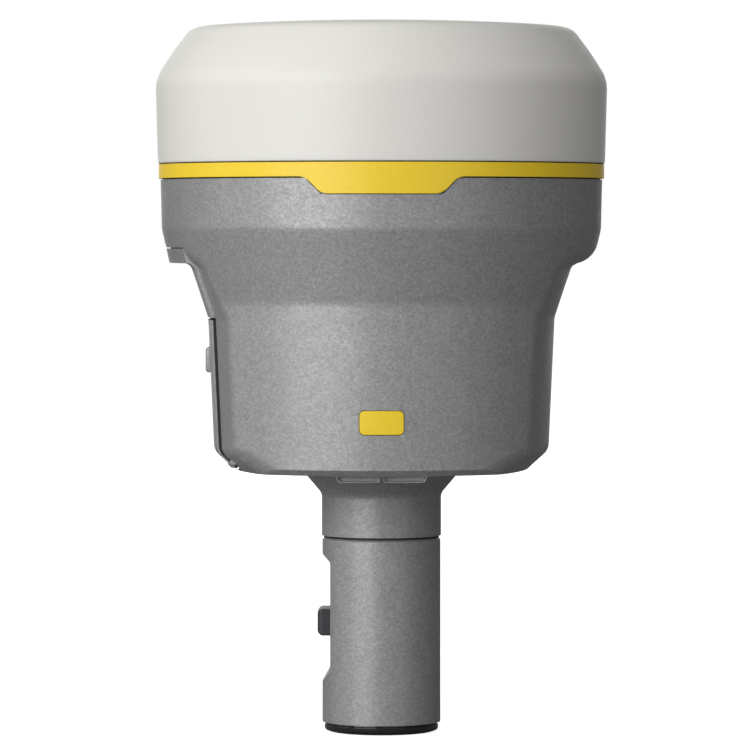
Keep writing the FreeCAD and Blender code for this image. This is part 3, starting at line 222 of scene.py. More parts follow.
@dataclass(frozen=True)
class TurnedMetal(Finish):
    """Metal with fine rings round +Z, as a lathe leaves them."""

    def pattern(self, tree: bpy.types.NodeTree, where: bpy.types.NodeSocket,
                shader: bpy.types.Node) -> None:
        """Squeeze the grain into rings by stretching it across height only."""
        mapping = tree.nodes.new("ShaderNodeMapping")
        mapping.inputs["Scale"].default_value = (0.06, 0.06, 1.0)
        link(tree, where, mapping.inputs["Vector"])
        super().pattern(tree, mapping.outputs["Vector"], shader)


@dataclass(frozen=True)
class CircuitLaminate(Finish):
    """Green board with lighter copper runs and pads under the mask.

    Attributes:
        copper: colour of the covered copper, linear RGB.
        run: width of the copper runs' pattern in metres.
    """

    copper: tuple[float, float, float] = (0.05, 0.32, 0.12)
    run: float = 0.0035

    def pattern(self, tree: bpy.types.NodeTree, where: bpy.types.NodeSocket,
                shader: bpy.types.Node) -> None:
        """Lay bricks as copper areas and a cell pattern as solder points."""
        bricks = tree.nodes.new("ShaderNodeTexBrick")
        bricks.inputs["Scale"].default_value = 1.0 / self.run
        bricks.inputs["Mortar Size"].default_value = 0.06
        bricks.inputs["Color1"].default_value = (*self.copper, 1)
        bricks.inputs["Color2"].default_value = (*self.colour, 1)
        bricks.inputs["Mortar"].default_value = (*shade(self.colour, 0.6), 1)
        link(tree, where, bricks.inputs["Vector"])
        cells = tree.nodes.new("ShaderNodeTexVoronoi")
        cells.inputs["Scale"].default_value = 0.6 / self.run
        link(tree, where, cells.inputs["Vector"])
        points = ramp(tree, cells.outputs["Distance"], ((0.10, (0.6, 0.6, 0.58)), (0.13, (0, 0, 0))))
        mix = blend_colours(tree, bricks.outputs["Color"], points, 0.8, "LIGHTEN")
        link(tree, mix, shader.inputs["Base Color"])
        grain = noise(tree, where, self.grain, 2.0)
        link(tree, spread(tree, grain, self.roughness, self.gloss_spread), shader.inputs["Roughness"])
        link(tree, bump(tree, bricks.outputs["Fac"], self.relief), shader.inputs["Normal"])


def link(tree: bpy.types.NodeTree, source: bpy.types.NodeSocket, target: bpy.types.NodeSocket) -> None:
    """Join two sockets."""
    tree.links.new(source, target)


def shade(colour: Sequence[float], factor: float) -> tuple[float, ...]:
    """A colour made lighter or darker by a factor."""
    return tuple(min(1.0, part * factor) for part in colour)


def noise(tree: bpy.types.NodeTree, where: bpy.types.NodeSocket, size: float,
          detail: float) -> bpy.types.NodeSocket:
    """A noise whose features are about the given size.

    Args:
        tree: the material's node tree.
        where: coordinates.
        size: feature size in metres.
        detail: octaves.

    Returns:
        The noise's value.
    """
    node = tree.nodes.new("ShaderNodeTexNoise")
    node.inputs["Scale"].default_value = 1.0 / size
    node.inputs["Detail"].default_value = detail
    link(tree, where, node.inputs["Vector"])
    return node.outputs["Fac"]


def ramp(tree: bpy.types.NodeTree, value: bpy.types.NodeSocket,
         stops: Iterable[tuple[float, Sequence[float]]]) -> bpy.types.NodeSocket:
    """Colour a value through a ramp of (place, colour) stops."""
    node = tree.nodes.new("ShaderNodeValToRGB")
    stops = list(stops)
    while len(node.color_ramp.elements) < len(stops):
        node.color_ramp.elements.new(0.5)
    for element, (spot, colour) in zip(node.color_ramp.elements, stops):
        element.position = spot
        element.color = (*colour, 1)
    link(tree, value, node.inputs["Fac"])
    return node.outputs["Color"]


def spread(tree: bpy.types.NodeTree, value: bpy.types.NodeSocket, middle: float,
           reach: float) -> bpy.types.NodeSocket:
    """Map a 0..1 value to middle - reach .. middle + reach."""
    node = tree.nodes.new("ShaderNodeMapRange")
    node.inputs["To Min"].default_value = max(0.02, middle - reach)
    node.inputs["To Max"].default_value = min(1.0, middle + reach)
    link(tree, value, node.inputs["Value"])
    return node.outputs["Result"]


def bump(tree: bpy.types.NodeTree, value: bpy.types.NodeSocket, height: float) -> bpy.types.NodeSocket:
    """A bump of the given height in metres, over edges that catch a little light."""
    node = tree.nodes.new("ShaderNodeBump")
    node.inputs["Strength"].default_value = 1.0
    node.inputs["Distance"].default_value = height
    link(tree, value, node.inputs["Height"])
    edge = tree.nodes.new("ShaderNodeBevel")
    edge.samples = 4
    edge.inputs["Radius"].default_value = 0.0002
    link(tree, edge.outputs["Normal"], node.inputs["Normal"])
    return node.outputs["Normal"]


def blend_colours(tree: bpy.types.NodeTree, one: bpy.types.NodeSocket, two: bpy.types.NodeSocket,
                  share: float, how: str = "MIX") -> bpy.types.NodeSocket:
    """Mix a share of the second colour into the first."""
    node = tree.nodes.new("ShaderNodeMix")
    node.data_type = "RGBA"
    node.blend_type = how
    node.inputs["Factor"].default_value = share
    link(tree, one, node.inputs["A"])
    link(tree, two, node.inputs["B"])
    return node.outputs["Result"]


FINISHES: tuple[Finish, ...] = (
    SpeckledPaint("housing_paint", (0.345, 0.345, 0.345), 0.46, 0.42, 0.0011, 0.05, 0.000012, 0.1),
    Finish("radome_plastic", (0.80, 0.79, 0.735), 0.42, 0.0, 0.0005, 0.015, 0.000006, 0.05),
    Finish("yellow_plastic", (0.97, 0.68, 0.022), 0.4, 0.0, 0.0005, 0.03, 0.000006, 0.05),
    Finish("black_gloss", (0.012, 0.012, 0.014), 0.14, 0.0, 0.002, 0.1, 0.000002, 0.04, coat=0.5),
    Finish("black_plastic", (0.018, 0.018, 0.02), 0.48, 0.0, 0.0004, 0.15, 0.00001),
    Finish("charcoal_plastic", (0.036, 0.036, 0.042), 0.45, 0.0, 0.0004, 0.15, 0.00001),
    Finish("key_rubber", (0.09, 0.09, 0.1), 0.6, 0.0, 0.0003, 0.1, 0.000012),
    Finish("rubber", (0.016, 0.016, 0.017), 0.7, 0.0, 0.0005, 0.2, 0.000015),
    DrawnMetal("spring_steel", (0.5, 0.5, 0.51), 0.28, 1.0, 0.0002, 0.1, 0.000003),
    TurnedMetal("machined_steel", (0.55, 0.55, 0.56), 0.26, 1.0, 0.00012, 0.12, 0.000004),
    DrawnMetal("tinned_steel", (0.6, 0.6, 0.58), 0.32, 1.0, 0.0003, 0.1, 0.000003, along=Axis.X),
    DrawnMetal("aluminium", (0.72, 0.72, 0.73), 0.35, 1.0, 0.0003, 0.08, 0.000004, along=Axis.X),
    TurnedMetal("brass", (0.72, 0.5, 0.2), 0.27, 1.0, 0.00012, 0.1, 0.000004),
    Finish("battery_case", (0.06, 0.06, 0.066), 0.5, 0.0, 0.0004, 0.12, 0.00001),
    CircuitLaminate("circuit_board", (0.015, 0.13, 0.05), 0.35, 0.0, 0.0006, 0.05, 0.00002),
    Finish("patch_ceramic", (0.72, 0.64, 0.5), 0.35, 0.6, 0.0005, 0.08, 0.000008),
    Finish("lamp_lens", (0.16, 0.4, 0.16), 0.12, 0.0, 0.0006, 0.1, 0.000002, 0.03, coat=0.6),
    Finish("label_film", (0.6, 0.6, 0.61), 0.3, 0.3, 0.0003, 0.04, 0.000002),
)


@dataclass
class Paintbox:
    """The materials of the whole object, by slot name.

    Attributes:
        materials: slot name to material.
    """

    materials: dict[str, bpy.types.Material] = field(default_factory=dict)

    def mix(self) -> None:
        """Make every finish."""
        for finish in FINISHES:
            self.materials[finish.name] = finish.material()

    def coat_frame(self, frame: dict) -> None:
        """Give each node of the frame the finish of its slot.
        """
        slots = {row["node"]: row["material_slot"] for row in frame["record"]["subparts"]}
        for name, thing in frame["nodes"].items():
            thing.data.materials.clear()
            thing.data.materials.append(self.materials[slots[name]])

    def coat(self, piece: bpy.types.Object, slot: str) -> None:
        """Give a new piece one finish."""
        piece.data.materials.clear()
        piece.data.materials.append(self.materials[slot])


# ---- studio ------------------------------------------------------------------------------------

@dataclass
class Studio:
    """Floor, backdrop, lights and camera.

    Attributes:
        eye_height: height of the camera.
        distance: distance of the camera from the axis.
        lens: focal length in millimetres on a 36 mm sensor.
        aim: the point that the camera looks at.
        dark_side: strength of the world's light from the back right.
        light_side: strength of the world's light from the front left.
    """

    eye_height: float = 0.132
    distance: float = 1.32
    lens: float = 240.0
    aim: tuple[float, float, float] = (-0.0017, 0.0, 0.0941)
    dark_side: float = 0.1
    light_side: float = 0.46

    def build(self) -> None:
        """Set the whole studio up."""
        self.floor()
        self.world()
        white = (1.0, 1.0, 1.0)
        self.lamp("key_light", (-0.66, -0.95, 0.24), (0, 0, 0.1), (0.95, 0.95), 10.6, white)
        self.lamp("side_light", (-1.1, -0.1, 0.3), (0, 0, 0.12), (0.6, 0.9), 1.6, white)
        self.lamp("fill_light", (0.55, -1.15, 0.1), (0, 0, 0.09), (1.1, 1.0), 2.5, (0.9, 0.88, 1.0))
        self.lamp("back_light", (0.0, 1.6, 0.35), (0, 0, 0.1), (1.2, 0.9), 4.0, white)
        self.lamp("top_light", (-0.25, -0.35, 1.1), (0, 0, 0.12), (0.6, 0.6), 1.0, white)
        self.camera()

    def floor(self) -> None:
        """A pale paper floor that bounces little light up at the object."""
        mesh = bmesh.new()
        bmesh.ops.create_grid(mesh, x_segments=4, y_segments=4, size=12.0)
        floor = finish_mesh("studio_floor", mesh)
        paper = bpy.data.materials.new("studio_paper")
        paper.use_nodes = True
        tree = paper.node_tree
        dim = tree.nodes["Principled BSDF"]
        dim.inputs["Base Color"].default_value = (0.22, 0.22, 0.22, 1)
        dim.inputs["Roughness"].default_value = 0.9
        pale = tree.nodes.new("ShaderNodeBsdfPrincipled")
        pale.inputs["Base Color"].default_value = (0.9, 0.9, 0.9, 1)
        pale.inputs["Roughness"].default_value = 0.9
        pale.inputs["Emission Color"].default_value = (1, 1, 1, 1)
        pale.inputs["Emission Strength"].default_value = 0.82
        seen = tree.nodes.new("ShaderNodeLightPath")
        choice = tree.nodes.new("ShaderNodeMixShader")
        link(tree, seen.outputs["Is Camera Ray"], choice.inputs["Fac"])
        link(tree, dim.outputs["BSDF"], choice.inputs[1])
        link(tree, pale.outputs["BSDF"], choice.inputs[2])
        link(tree, choice.outputs["Shader"], tree.nodes["Material Output"].inputs["Surface"])
        floor.data.materials.append(paper)

    def world(self) -> None:
        """White paper all round, whose light is stronger from the front left than from the right."""
        world = bpy.data.worlds.new("studio_world")
        world.use_nodes = True
        tree = world.node_tree
        backdrop = tree.nodes["Background"]
        where = tree.nodes.new("ShaderNodeTexCoord").outputs["Generated"]
        side = tree.nodes.new("ShaderNodeVectorMath")
        side.operation = "DOT_PRODUCT"
        side.inputs[1].default_value = (-0.72, -0.5, 0.48)
        link(tree, where, side.inputs[0])
        fill = tree.nodes.new("ShaderNodeMapRange")
        fill.inputs["From Min"].default_value = -1.0
        fill.inputs["To Min"].default_value = self.dark_side
        fill.inputs["To Max"].default_value = self.light_side
        link(tree, side.outputs["Value"], fill.inputs["Value"])
        seen = tree.nodes.new("ShaderNodeLightPath")
        choice = tree.nodes.new("ShaderNodeMix")
        choice.inputs["B"].default_value = 1.0
        link(tree, seen.outputs["Is Camera Ray"], choice.inputs["Factor"])
        link(tree, fill.outputs["Result"], choice.inputs["A"])
        link(tree, choice.outputs["Result"], backdrop.inputs["Strength"])
        backdrop.inputs["Color"].default_value = (1.0, 1.0, 1.0, 1)
        bpy.context.scene.world = world

    def lamp(self, name: str, spot: Sequence[float], aim: Sequence[float],
             size: tuple[float, float], power: float, colour: Sequence[float]) -> None:
        """Place one soft rectangular lamp.

        Args:
            name: the lamp's name.
            spot: where it stands.
            aim: the point it faces.
            size: its width and height.
            power: its power in watts.
            colour: the light's colour, linear RGB.
        """
        data = bpy.data.lights.new(name, "AREA")
        data.color = colour
        data.shape = "RECTANGLE"
        data.size, data.size_y = size
        data.energy = power
        lamp = bpy.data.objects.new(name, data)
        lamp.location = spot
        lamp.rotation_euler = (Vector(aim) - Vector(spot)).to_track_quat("-Z", "Y").to_euler()
        bpy.context.scene.collection.objects.link(lamp)

    def camera(self) -> None:
        """A long lens at eye height in front of the object."""
        data = bpy.data.cameras.new("camera")
        data.lens = self.lens
        data.sensor_width = 36.0
        camera = bpy.data.objects.new("camera", data)
        camera.location = (self.aim[0], -self.distance, self.eye_height)
        toward = Vector(self.aim) - camera.location
        camera.rotation_euler = toward.to_track_quat("-Z", "Y").to_euler()
        bpy.context.scene.collection.objects.link(camera)
        bpy.context.scene.camera = camera


# ---- mesh helpers ------------------------------------------------------------------------------

def finish_mesh(name: str, mesh: bmesh.types.BMesh, smooth_below: float = 35.0) -> bpy.types.Object:
    """Turn a bmesh into an object, smooth where its faces meet at less than an angle.

    Args:
        name: the new object's name.
        mesh: the bmesh, which is freed.
        smooth_below: the largest angle, in degrees, that is shaded smooth.

    Returns:
        The new object, linked to the scene.
    """
    for face in mesh.faces:
        face.smooth = True
    limit = math.radians(smooth_below)
    for edge in mesh.edges:
        edge.smooth = len(edge.link_faces) == 2 and edge.calc_face_angle(math.pi) < limit
    data = bpy.data.meshes.new(name)
    mesh.to_mesh(data)
    mesh.free()
    thing = bpy.data.objects.new(name, data)
    bpy.context.scene.collection.objects.link(thing)
    return thing


def sharp_edges(mesh: bmesh.types.BMesh, degrees: float) -> list[bmesh.types.BMEdge]:
    """The closed edges of a mesh that turn by more than an angle."""
    limit = math.radians(degrees)
    return [edge for edge in mesh.edges if len(edge.link_faces) == 2 and edge.calc_face_angle(0.0) > limit]


def round_edges(mesh: bmesh.types.BMesh, edges: Sequence[bmesh.types.BMEdge], width: float,
                segments: int = 3) -> None:
    """Round the given edges to a width."""
    if not edges or width <= 0.0:
        return
    bmesh.ops.bevel(mesh, geom=list(edges), offset=width, offset_type="OFFSET", affect="EDGES",
                    segments=segments, profile=0.5, material=-1, clamp_overlap=True)


def softened(frame: dict, node: str, width: float, segments: int = 2, sharp: float = 28.0) -> bmesh.types.BMesh:
    """A merged copy of a node's mesh with its sharp edges rounded.

    Args:
        node: the node to copy.
        width: width of the rounding.
        segments: steps in the rounding.
        sharp: edges that turn by more than this many degrees are rounded.

    Returns:
        The copy, as a bmesh.
    """
    mesh = bmesh.new()
    mesh.from_mesh(frame["nodes"][node].data)
    bmesh.ops.remove_doubles(mesh, verts=mesh.verts, dist=0.000002)
    bmesh.ops.dissolve_limit(mesh, angle_limit=math.radians(0.2), verts=mesh.verts, edges=mesh.edges)
    round_edges(mesh, sharp_edges(mesh, sharp), width, segments)
    return mesh


def spun(profile: Sequence[tuple[float, ...]], steps: int = 96, closed: bool = True,
         middle: Sequence[float] = (0, 0, 0)) -> bmesh.types.BMesh:
    """Turn a profile of (radius, height) corners, in millimetres, round an upright axis.

    A corner with a third number is rounded to that width after the turn.

    Args:
        profile: the corners, from one end to the other.
        steps: steps in the full turn.
        closed: whether the last corner joins the first one.
        middle: a point on the axis.

    Returns:
        The closed solid of revolution.
    """
    mesh = bmesh.new()
    row = [mesh.verts.new((corner[0] * MM, 0, corner[1] * MM)) for corner in profile]
    ring = row + row[:1] if closed else row
    edges = [mesh.edges.new(pair) for pair in zip(ring, ring[1:])]
    bmesh.ops.spin(mesh, geom=row + edges, cent=(0, 0, 0), axis=(0, 0, 1), angle=math.tau,
                   steps=steps, use_merge=True)
    bmesh.ops.remove_doubles(mesh, verts=mesh.verts, dist=0.0000005)
    bmesh.ops.dissolve_degenerate(mesh, edges=mesh.edges, dist=0.0000005)
    bmesh.ops.recalc_face_normals(mesh, faces=mesh.faces)
    for corner in profile:
        if len(corner) == 3:
            round_edges(mesh, circle_edges(mesh, corner[0] * MM, corner[1] * MM), corner[2] * MM)
    bmesh.ops.translate(mesh, verts=mesh.verts, vec=Vector(middle))
    return mesh


def circle_edges(mesh: bmesh.types.BMesh, radius: float, height: float) -> list[bmesh.types.BMEdge]:
    """The edges of a circle round the upright axis at a radius and height in metres."""
    near = 0.000003

    def on_circle(vert: bmesh.types.BMVert) -> bool:
        """Whether a vertex lies on the circle."""
        return abs(vert.co.xy.length - radius) < near and abs(vert.co.z - height) < near

    return [edge for edge in mesh.edges if on_circle(edge.verts[0]) and on_circle(edge.verts[1])]


def block(low: Sequence[float], high: Sequence[float], width: float, segments: int = 2) -> bmesh.types.BMesh:
    """A block between two corners in metres, with every edge rounded."""
    mesh = bmesh.new()
    bmesh.ops.create_cube(mesh, size=1.0)
    span = Vector(high) - Vector(low)
    bmesh.ops.scale(mesh, verts=mesh.verts, vec=span)
    bmesh.ops.translate(mesh, verts=mesh.verts, vec=(Vector(low) + Vector(high)) / 2)
    round_edges(mesh, mesh.edges[:], width, segments)
    return mesh


def joined(meshes: Iterable[bmesh.types.BMesh]) -> bmesh.types.BMesh:
    """One bmesh holding all the given ones, which are freed."""
    whole = bmesh.new()
    carrier = bpy.data.meshes.new("carrier")
    for part in meshes:
        part.to_mesh(carrier)
        part.free()
        whole.from_mesh(carrier)
    bpy.data.meshes.remove(carrier)
    return whole


def socket_screw(head: float, height: float, key: float, spot: Sequence[float]) -> bmesh.types.BMesh:
    """A round screw head with a hexagon socket, facing down from a spot.

    Args:
        head: head radius in metres.
        height: head height in metres.
        key: socket radius in metres.
        spot: middle of the head's seat.

    Returns:
        The closed head.
    """
    mesh = bmesh.new()
    rim = bmesh.ops.create_circle(mesh, segments=24, radius=head)["verts"]
    hexagon = bmesh.ops.create_circle(mesh, segments=6, radius=key)["verts"]
    face_edges = mesh.edges[:]
    bmesh.ops.bridge_loops(mesh, edges=face_edges)
    outer = [edge for edge in mesh.edges if edge.is_boundary and edge.verts[0] in rim]
    inner = [edge for edge in mesh.edges if edge.is_boundary and edge.verts[0] in hexagon]
    for edges, rise in ((outer, height), (inner, height * 0.6)):
        made = bmesh.ops.extrude_edge_only(mesh, edges=edges)["geom"]
        verts = [item for item in made if isinstance(item, bmesh.types.BMVert)]
        bmesh.ops.translate(mesh, verts=verts, vec=(0, 0, rise))
        bmesh.ops.contextual_create(mesh, geom=verts)
    bmesh.ops.recalc_face_normals(mesh, faces=mesh.faces)
    round_edges(mesh, circle_edges(mesh, head, 0.0), height * 0.25)
    bmesh.ops.translate(mesh, verts=mesh.verts, vec=Vector(spot) - Vector((0, 0, height)))
    return mesh


def coil_spring(radius: float, wire: float, turns: float, length: float) -> bmesh.types.BMesh:
    """A closed round-wire coil that stands up from the origin, all sizes in metres.

    Args:
        radius: middle radius of the coil.
        wire: radius of the wire.
        turns: number of turns.
        length: full length of the coil.

    Returns:
        The coil.
    """
    mesh = bmesh.new()
    end = bmesh.ops.create_circle(mesh, cap_ends=True, segments=10, radius=wire)["verts"]
    bmesh.ops.rotate(mesh, verts=end, cent=(0, 0, 0), matrix=Matrix.Rotation(math.radians(90), 3, "X"))
    bmesh.ops.translate(mesh, verts=end, vec=(radius, 0, wire))
    steps = int(28 * turns)
    bmesh.ops.spin(mesh, geom=mesh.verts[:] + mesh.edges[:] + mesh.faces[:], cent=(0, 0, 0), axis=(0, 0, 1),
                   dvec=(0, 0, (length - 2 * wire) / steps), angle=math.tau * turns, steps=steps)
    bmesh.ops.recalc_face_normals(mesh, faces=mesh.faces)
    return mesh


@dataclass
class Workshop:
    """Where finished pieces are dressed, hung on their bodies and reported.

    Attributes:
        paints: the finishes.
    """

    frame: dict
    paints: "Paintbox"

    def finish(self, name: str, mesh: bmesh.types.BMesh, slot: str, body: Body,
               *nodes: str, smooth_below: float = 35.0) -> bpy.types.Object:
        """Make a piece of a bmesh, dress it and let it ride.

        Args:
            name: the piece's name.
            mesh: its bmesh, which is freed.
            slot: its finish.
            body: the rigid group it rides on.
            *nodes: nodes that it stands for.
            smooth_below: the largest angle that is shaded smooth.

        Returns:
            The new piece.
        """
        piece = finish_mesh(name, mesh, smooth_below)
        evened = piece.modifiers.new("even_shading", "WEIGHTED_NORMAL")
        evened.keep_sharp = True
        evened.weight = 80
        self.paints.coat(piece, slot)
        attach(piece, body.value)
        if nodes:
            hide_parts(*nodes)
        LOG.info("%-24s %6d faces  on %s", name, len(piece.data.polygons), body.value)
        return piece

    def soften(self, node: str, slot: str, body: Body, width: float, sharp: float = 28.0,
               segments: int = 2) -> bpy.types.Object:
        """Stand a softened copy of a node in for it."""
        mesh = softened(self.frame, node, width * MM, segments, sharp)
        return self.finish(node + "_soft", mesh, slot, body, node)


# ---- sub-assemblies ----------------------------------------------------------------------------

@dataclass
class Adapter:
    """The quick-release pole adapter: body, foot ring, pole thread and release button.

    Attributes:
        foot_radius: outside radius of the foot ring in millimetres.
        foot_bore: bore of the foot ring.
        foot_height: height of the foot ring; not used.
        sleeve: outside radius of the thread insert.
        minor: radius of the thread's crests.
        major: radius of the thread's roots.
        pitch: rise of the thread in one turn.
        turns: full turns of thread.
        press: how far the button shortens its spring, in metres; not used.
    """

    foot_radius: float = 15.0
    foot_bore: float = 9.7
    foot_height: float = 2.6
    sleeve: float = 9.1
    minor: float = 6.8
    major: float = 7.9
    pitch: float = 2.309
    turns: int = 8
    press: float = 0.00205

    def build(self, shop: Workshop) -> None:
        """Build every piece of the adapter."""
        shop.soften("adapter_body", "housing_paint", Body.ADAPTER, 0.3, segments=3)
        self.spring(shop)
        shop.soften("release_button", "charcoal_plastic", Body.BUTTON, 0.35)
        self.foot(shop)
        self.thread(shop)

    def spring(self, shop: Workshop) -> None:
        """The spring behind the button."""
        low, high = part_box("button_spring")
        mesh = coil_spring((high[2] - low[2]) / 2 - 0.00035, 0.00035, 4.0, high[0] - low[0])
        bmesh.ops.rotate(mesh, verts=mesh.verts, cent=(0, 0, 0), matrix=Matrix.Rotation(math.radians(90), 3, "Y"))
        bmesh.ops.translate(mesh, verts=mesh.verts, vec=(low[0], 0, (low[2] + high[2]) / 2))
        piece = shop.finish("button_return_spring", mesh, "spring_steel", Body.BUTTON, "button_spring")
        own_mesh(piece)

    def foot(self, shop: Workshop) -> None:
        """The glossy foot ring, with rolled edges and a narrow step at the top of its wall."""
        low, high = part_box("base_ring")
        top = high[2] / MM
        mesh = spun([(self.foot_bore, 0.0, 0.3), (self.foot_radius - 1.6, 0.0, 0.2), (self.foot_radius, 0.55, 0.5),
                     (self.foot_radius, top - 0.55, 0.12), (self.foot_radius - 0.35, top - 0.4, 0.08),
                     (self.foot_radius - 0.35, top, 0.1), (self.foot_bore, top, 0.2)], 128)
        shop.finish("foot_ring", mesh, "black_gloss", Body.ADAPTER, "base_ring")

    def thread(self, shop: Workshop) -> None:
        """The brass insert with its helical thread."""
        low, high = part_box("pole_thread_insert")
        foot, top = low[2] / MM, high[2] / MM
        sleeve = spun([(self.major, foot, 0.3), (self.sleeve, foot, 0.3), (self.sleeve, top, 0.2),
                       (self.major, top, 0.2)], 72)
        ridge = bmesh.new()
        start = foot + 0.6
        corners = ((self.major + 0.15, start), (self.major + 0.15, start + 1.9),
                   (self.minor, start + 1.15), (self.minor, start + 0.75))
        verts = [ridge.verts.new((radius * MM, 0, height * MM)) for radius, height in corners]
        face = ridge.faces.new(verts)
        steps = 36 * (self.turns - 1)
        bmesh.ops.spin(ridge, geom=[face, *face.edges, *verts], cent=(0, 0, 0), axis=(0, 0, 1),
                       dvec=(0, 0, self.pitch * MM / 36), angle=math.tau * (self.turns - 1), steps=steps)
        bmesh.ops.recalc_face_normals(ridge, faces=ridge.faces)
        shop.finish("threaded_insert", joined([sleeve, ridge]), "brass", Body.ADAPTER, "pole_thread_insert")


@dataclass
class Housing:
    """The painted housing, its neck, bezel, hook lugs and yellow parts.

    Attributes:
        lug_rim: width of the rim round a hook lug's hollow front in millimetres.
        lug_hollow: depth of the hollow.
        tab_round: rounding of the trim ring's tab corners.
    """

    lug_rim: float = 0.3
    lug_hollow: float = 2.2
    tab_round: float = 1.5

    def build(self, shop: Workshop) -> None:
        """Build every piece of the housing."""
        shop.soften("lower_housing", "housing_paint", Body.RECEIVER, 0.25, 24.0)
        shop.soften("side_bezel", "housing_paint", Body.RECEIVER, 0.16)
        shop.soften("neck", "housing_paint", Body.RECEIVER, 0.12)
        shop.soften("hinge_pin", "housing_paint", Body.RECEIVER, 0.2)
        shop.soften("badge", "yellow_plastic", Body.RECEIVER, 0.18)
        self.lugs(shop)
        self.trim(shop)

    def lugs(self, shop: Workshop) -> None:
        """Two hook lugs with a thin rim round a hollow front."""
        mesh = softened(shop.frame, "hook_lugs", 0.0)
        fronts = [face for face in mesh.faces if face.normal.y < -0.95]
        bmesh.ops.inset_individual(mesh, faces=fronts, thickness=self.lug_rim * MM, depth=0.0)
        bmesh.ops.inset_individual(mesh, faces=fronts, thickness=0.1 * MM, depth=-self.lug_hollow * MM)
        shop.finish("hook_lugs_soft", mesh, "housing_paint", Body.RECEIVER, "hook_lugs")

    def trim(self, shop: Workshop) -> None:
        """The yellow ring, whose front tab has rounded corners."""
        mesh = softened(shop.frame, "trim_ring", 0.0)
        corners = []
        for edge in sharp_edges(mesh, 28.0):
            run = edge.verts[1].co - edge.verts[0].co
            if all(vert.co.y < -0.03 for vert in edge.verts) and abs(run.z) < 0.05 * run.length and (
                    run.normalized().dot(edge.verts[0].co.xy.normalized().to_3d()) ** 2 > 0.7):
                corners.append(edge)
        round_edges(mesh, corners, self.tab_round * MM, 4)
        round_edges(mesh, sharp_edges(mesh, 28.0), 0.3 * MM, 2)
        shop.finish("yellow_ring", mesh, "yellow_plastic", Body.RECEIVER, "trim_ring")


@dataclass
class Radome:
    """The cream radome: a wall, a rounded shoulder, a cone and a shallow dome.

    Attributes:
        foot: radius at its foot in millimetres.
        wall: radius at the top of its wall.
        wall_top: height where the shoulder starts.
        crease: radius and height of the faint change of slope on the cone.
        dome_edge: radius and height of the dome's edge.
        skin: thickness of the moulding.
    """

    foot: float = 58.85
    wall: float = 59.5
    wall_top: float = 172.5
    crease: tuple[float, float] = (54.9, 179.2)
    dome_edge: tuple[float, float] = (50.3, 185.45)
    skin: float = 2.4

    def build(self, shop: Workshop) -> None:
        """Build the moulding with its shoulder and dome edge rounded."""
        low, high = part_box("radome")
        foot, top = low[2] / MM, high[2] / MM
        edge, edge_height = self.dome_edge
        sphere = (edge ** 2 + (top - edge_height) ** 2) / (2 * (top - edge_height))
        dome = []
        for step in range(8, -1, -1):
            radius = (edge - 3.2) * step / 8
            dome.append((radius, top - sphere + math.sqrt(sphere ** 2 - radius ** 2)))
        outer = [(self.foot, foot, 0.35), (self.foot + 0.1, foot + 1.5), (self.wall, self.wall_top - 0.4, 2.6),
                 (*self.crease, 1.2), (edge, edge_height - 0.05, 1.9), *dome]
        inner = [(0.0, top - self.skin)]
        inner += [(radius, height - self.skin) for radius, height in reversed(dome[:-1])]
        inner += [(self.wall - self.skin, self.wall_top - 1.0), (self.foot - self.skin, foot)]
        mesh = spun(outer + inner, 192)
        shop.finish("radome_shell", mesh, "radome_plastic", Body.RECEIVER, "radome")


@dataclass
class Door:
    """The battery door and its sliding latch.

    Attributes:
        ribs: grip ribs on the knob.
        rib: height of a rib in millimetres.
        wire: radius of the latch spring's wire in metres.
        slide: how far the knob shortens its spring, in metres; not used.
    """

    ribs: int = 4
    rib: float = 0.08
    wire: float = 0.0002
    slide: float = 0.00405

    def build(self, shop: Workshop) -> None:
        """Build the door, the knob and its grip."""
        shop.soften("battery_door", "housing_paint", Body.DOOR, 0.28)
        shop.soften("latch_knob", "housing_paint", Body.LATCH, 0.4)
        low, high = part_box("latch_spring")
        length = high[2] - low[2]
        mesh = coil_spring((high[1] - low[1]) / 2 - self.wire, self.wire, 7.0, length)
        bmesh.ops.translate(mesh, verts=mesh.verts, vec=((low[0] + high[0]) / 2, 0, low[2]))
        spring = shop.finish("latch_return_spring", mesh, "spring_steel", Body.LATCH, "latch_spring")
        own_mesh(spring)
        low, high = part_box("latch_knob")
        face = low[0]
        bars = []
        for index in range(self.ribs):
            height = 0.0964 + index * 0.00125
            bars.append(block((face - self.rib * MM, -0.0042, height), (face + 0.0006, 0.0042, height + 0.0005),
                              0.00012))
        shop.finish("knob_grip", joined(bars), "charcoal_plastic", Body.LATCH)


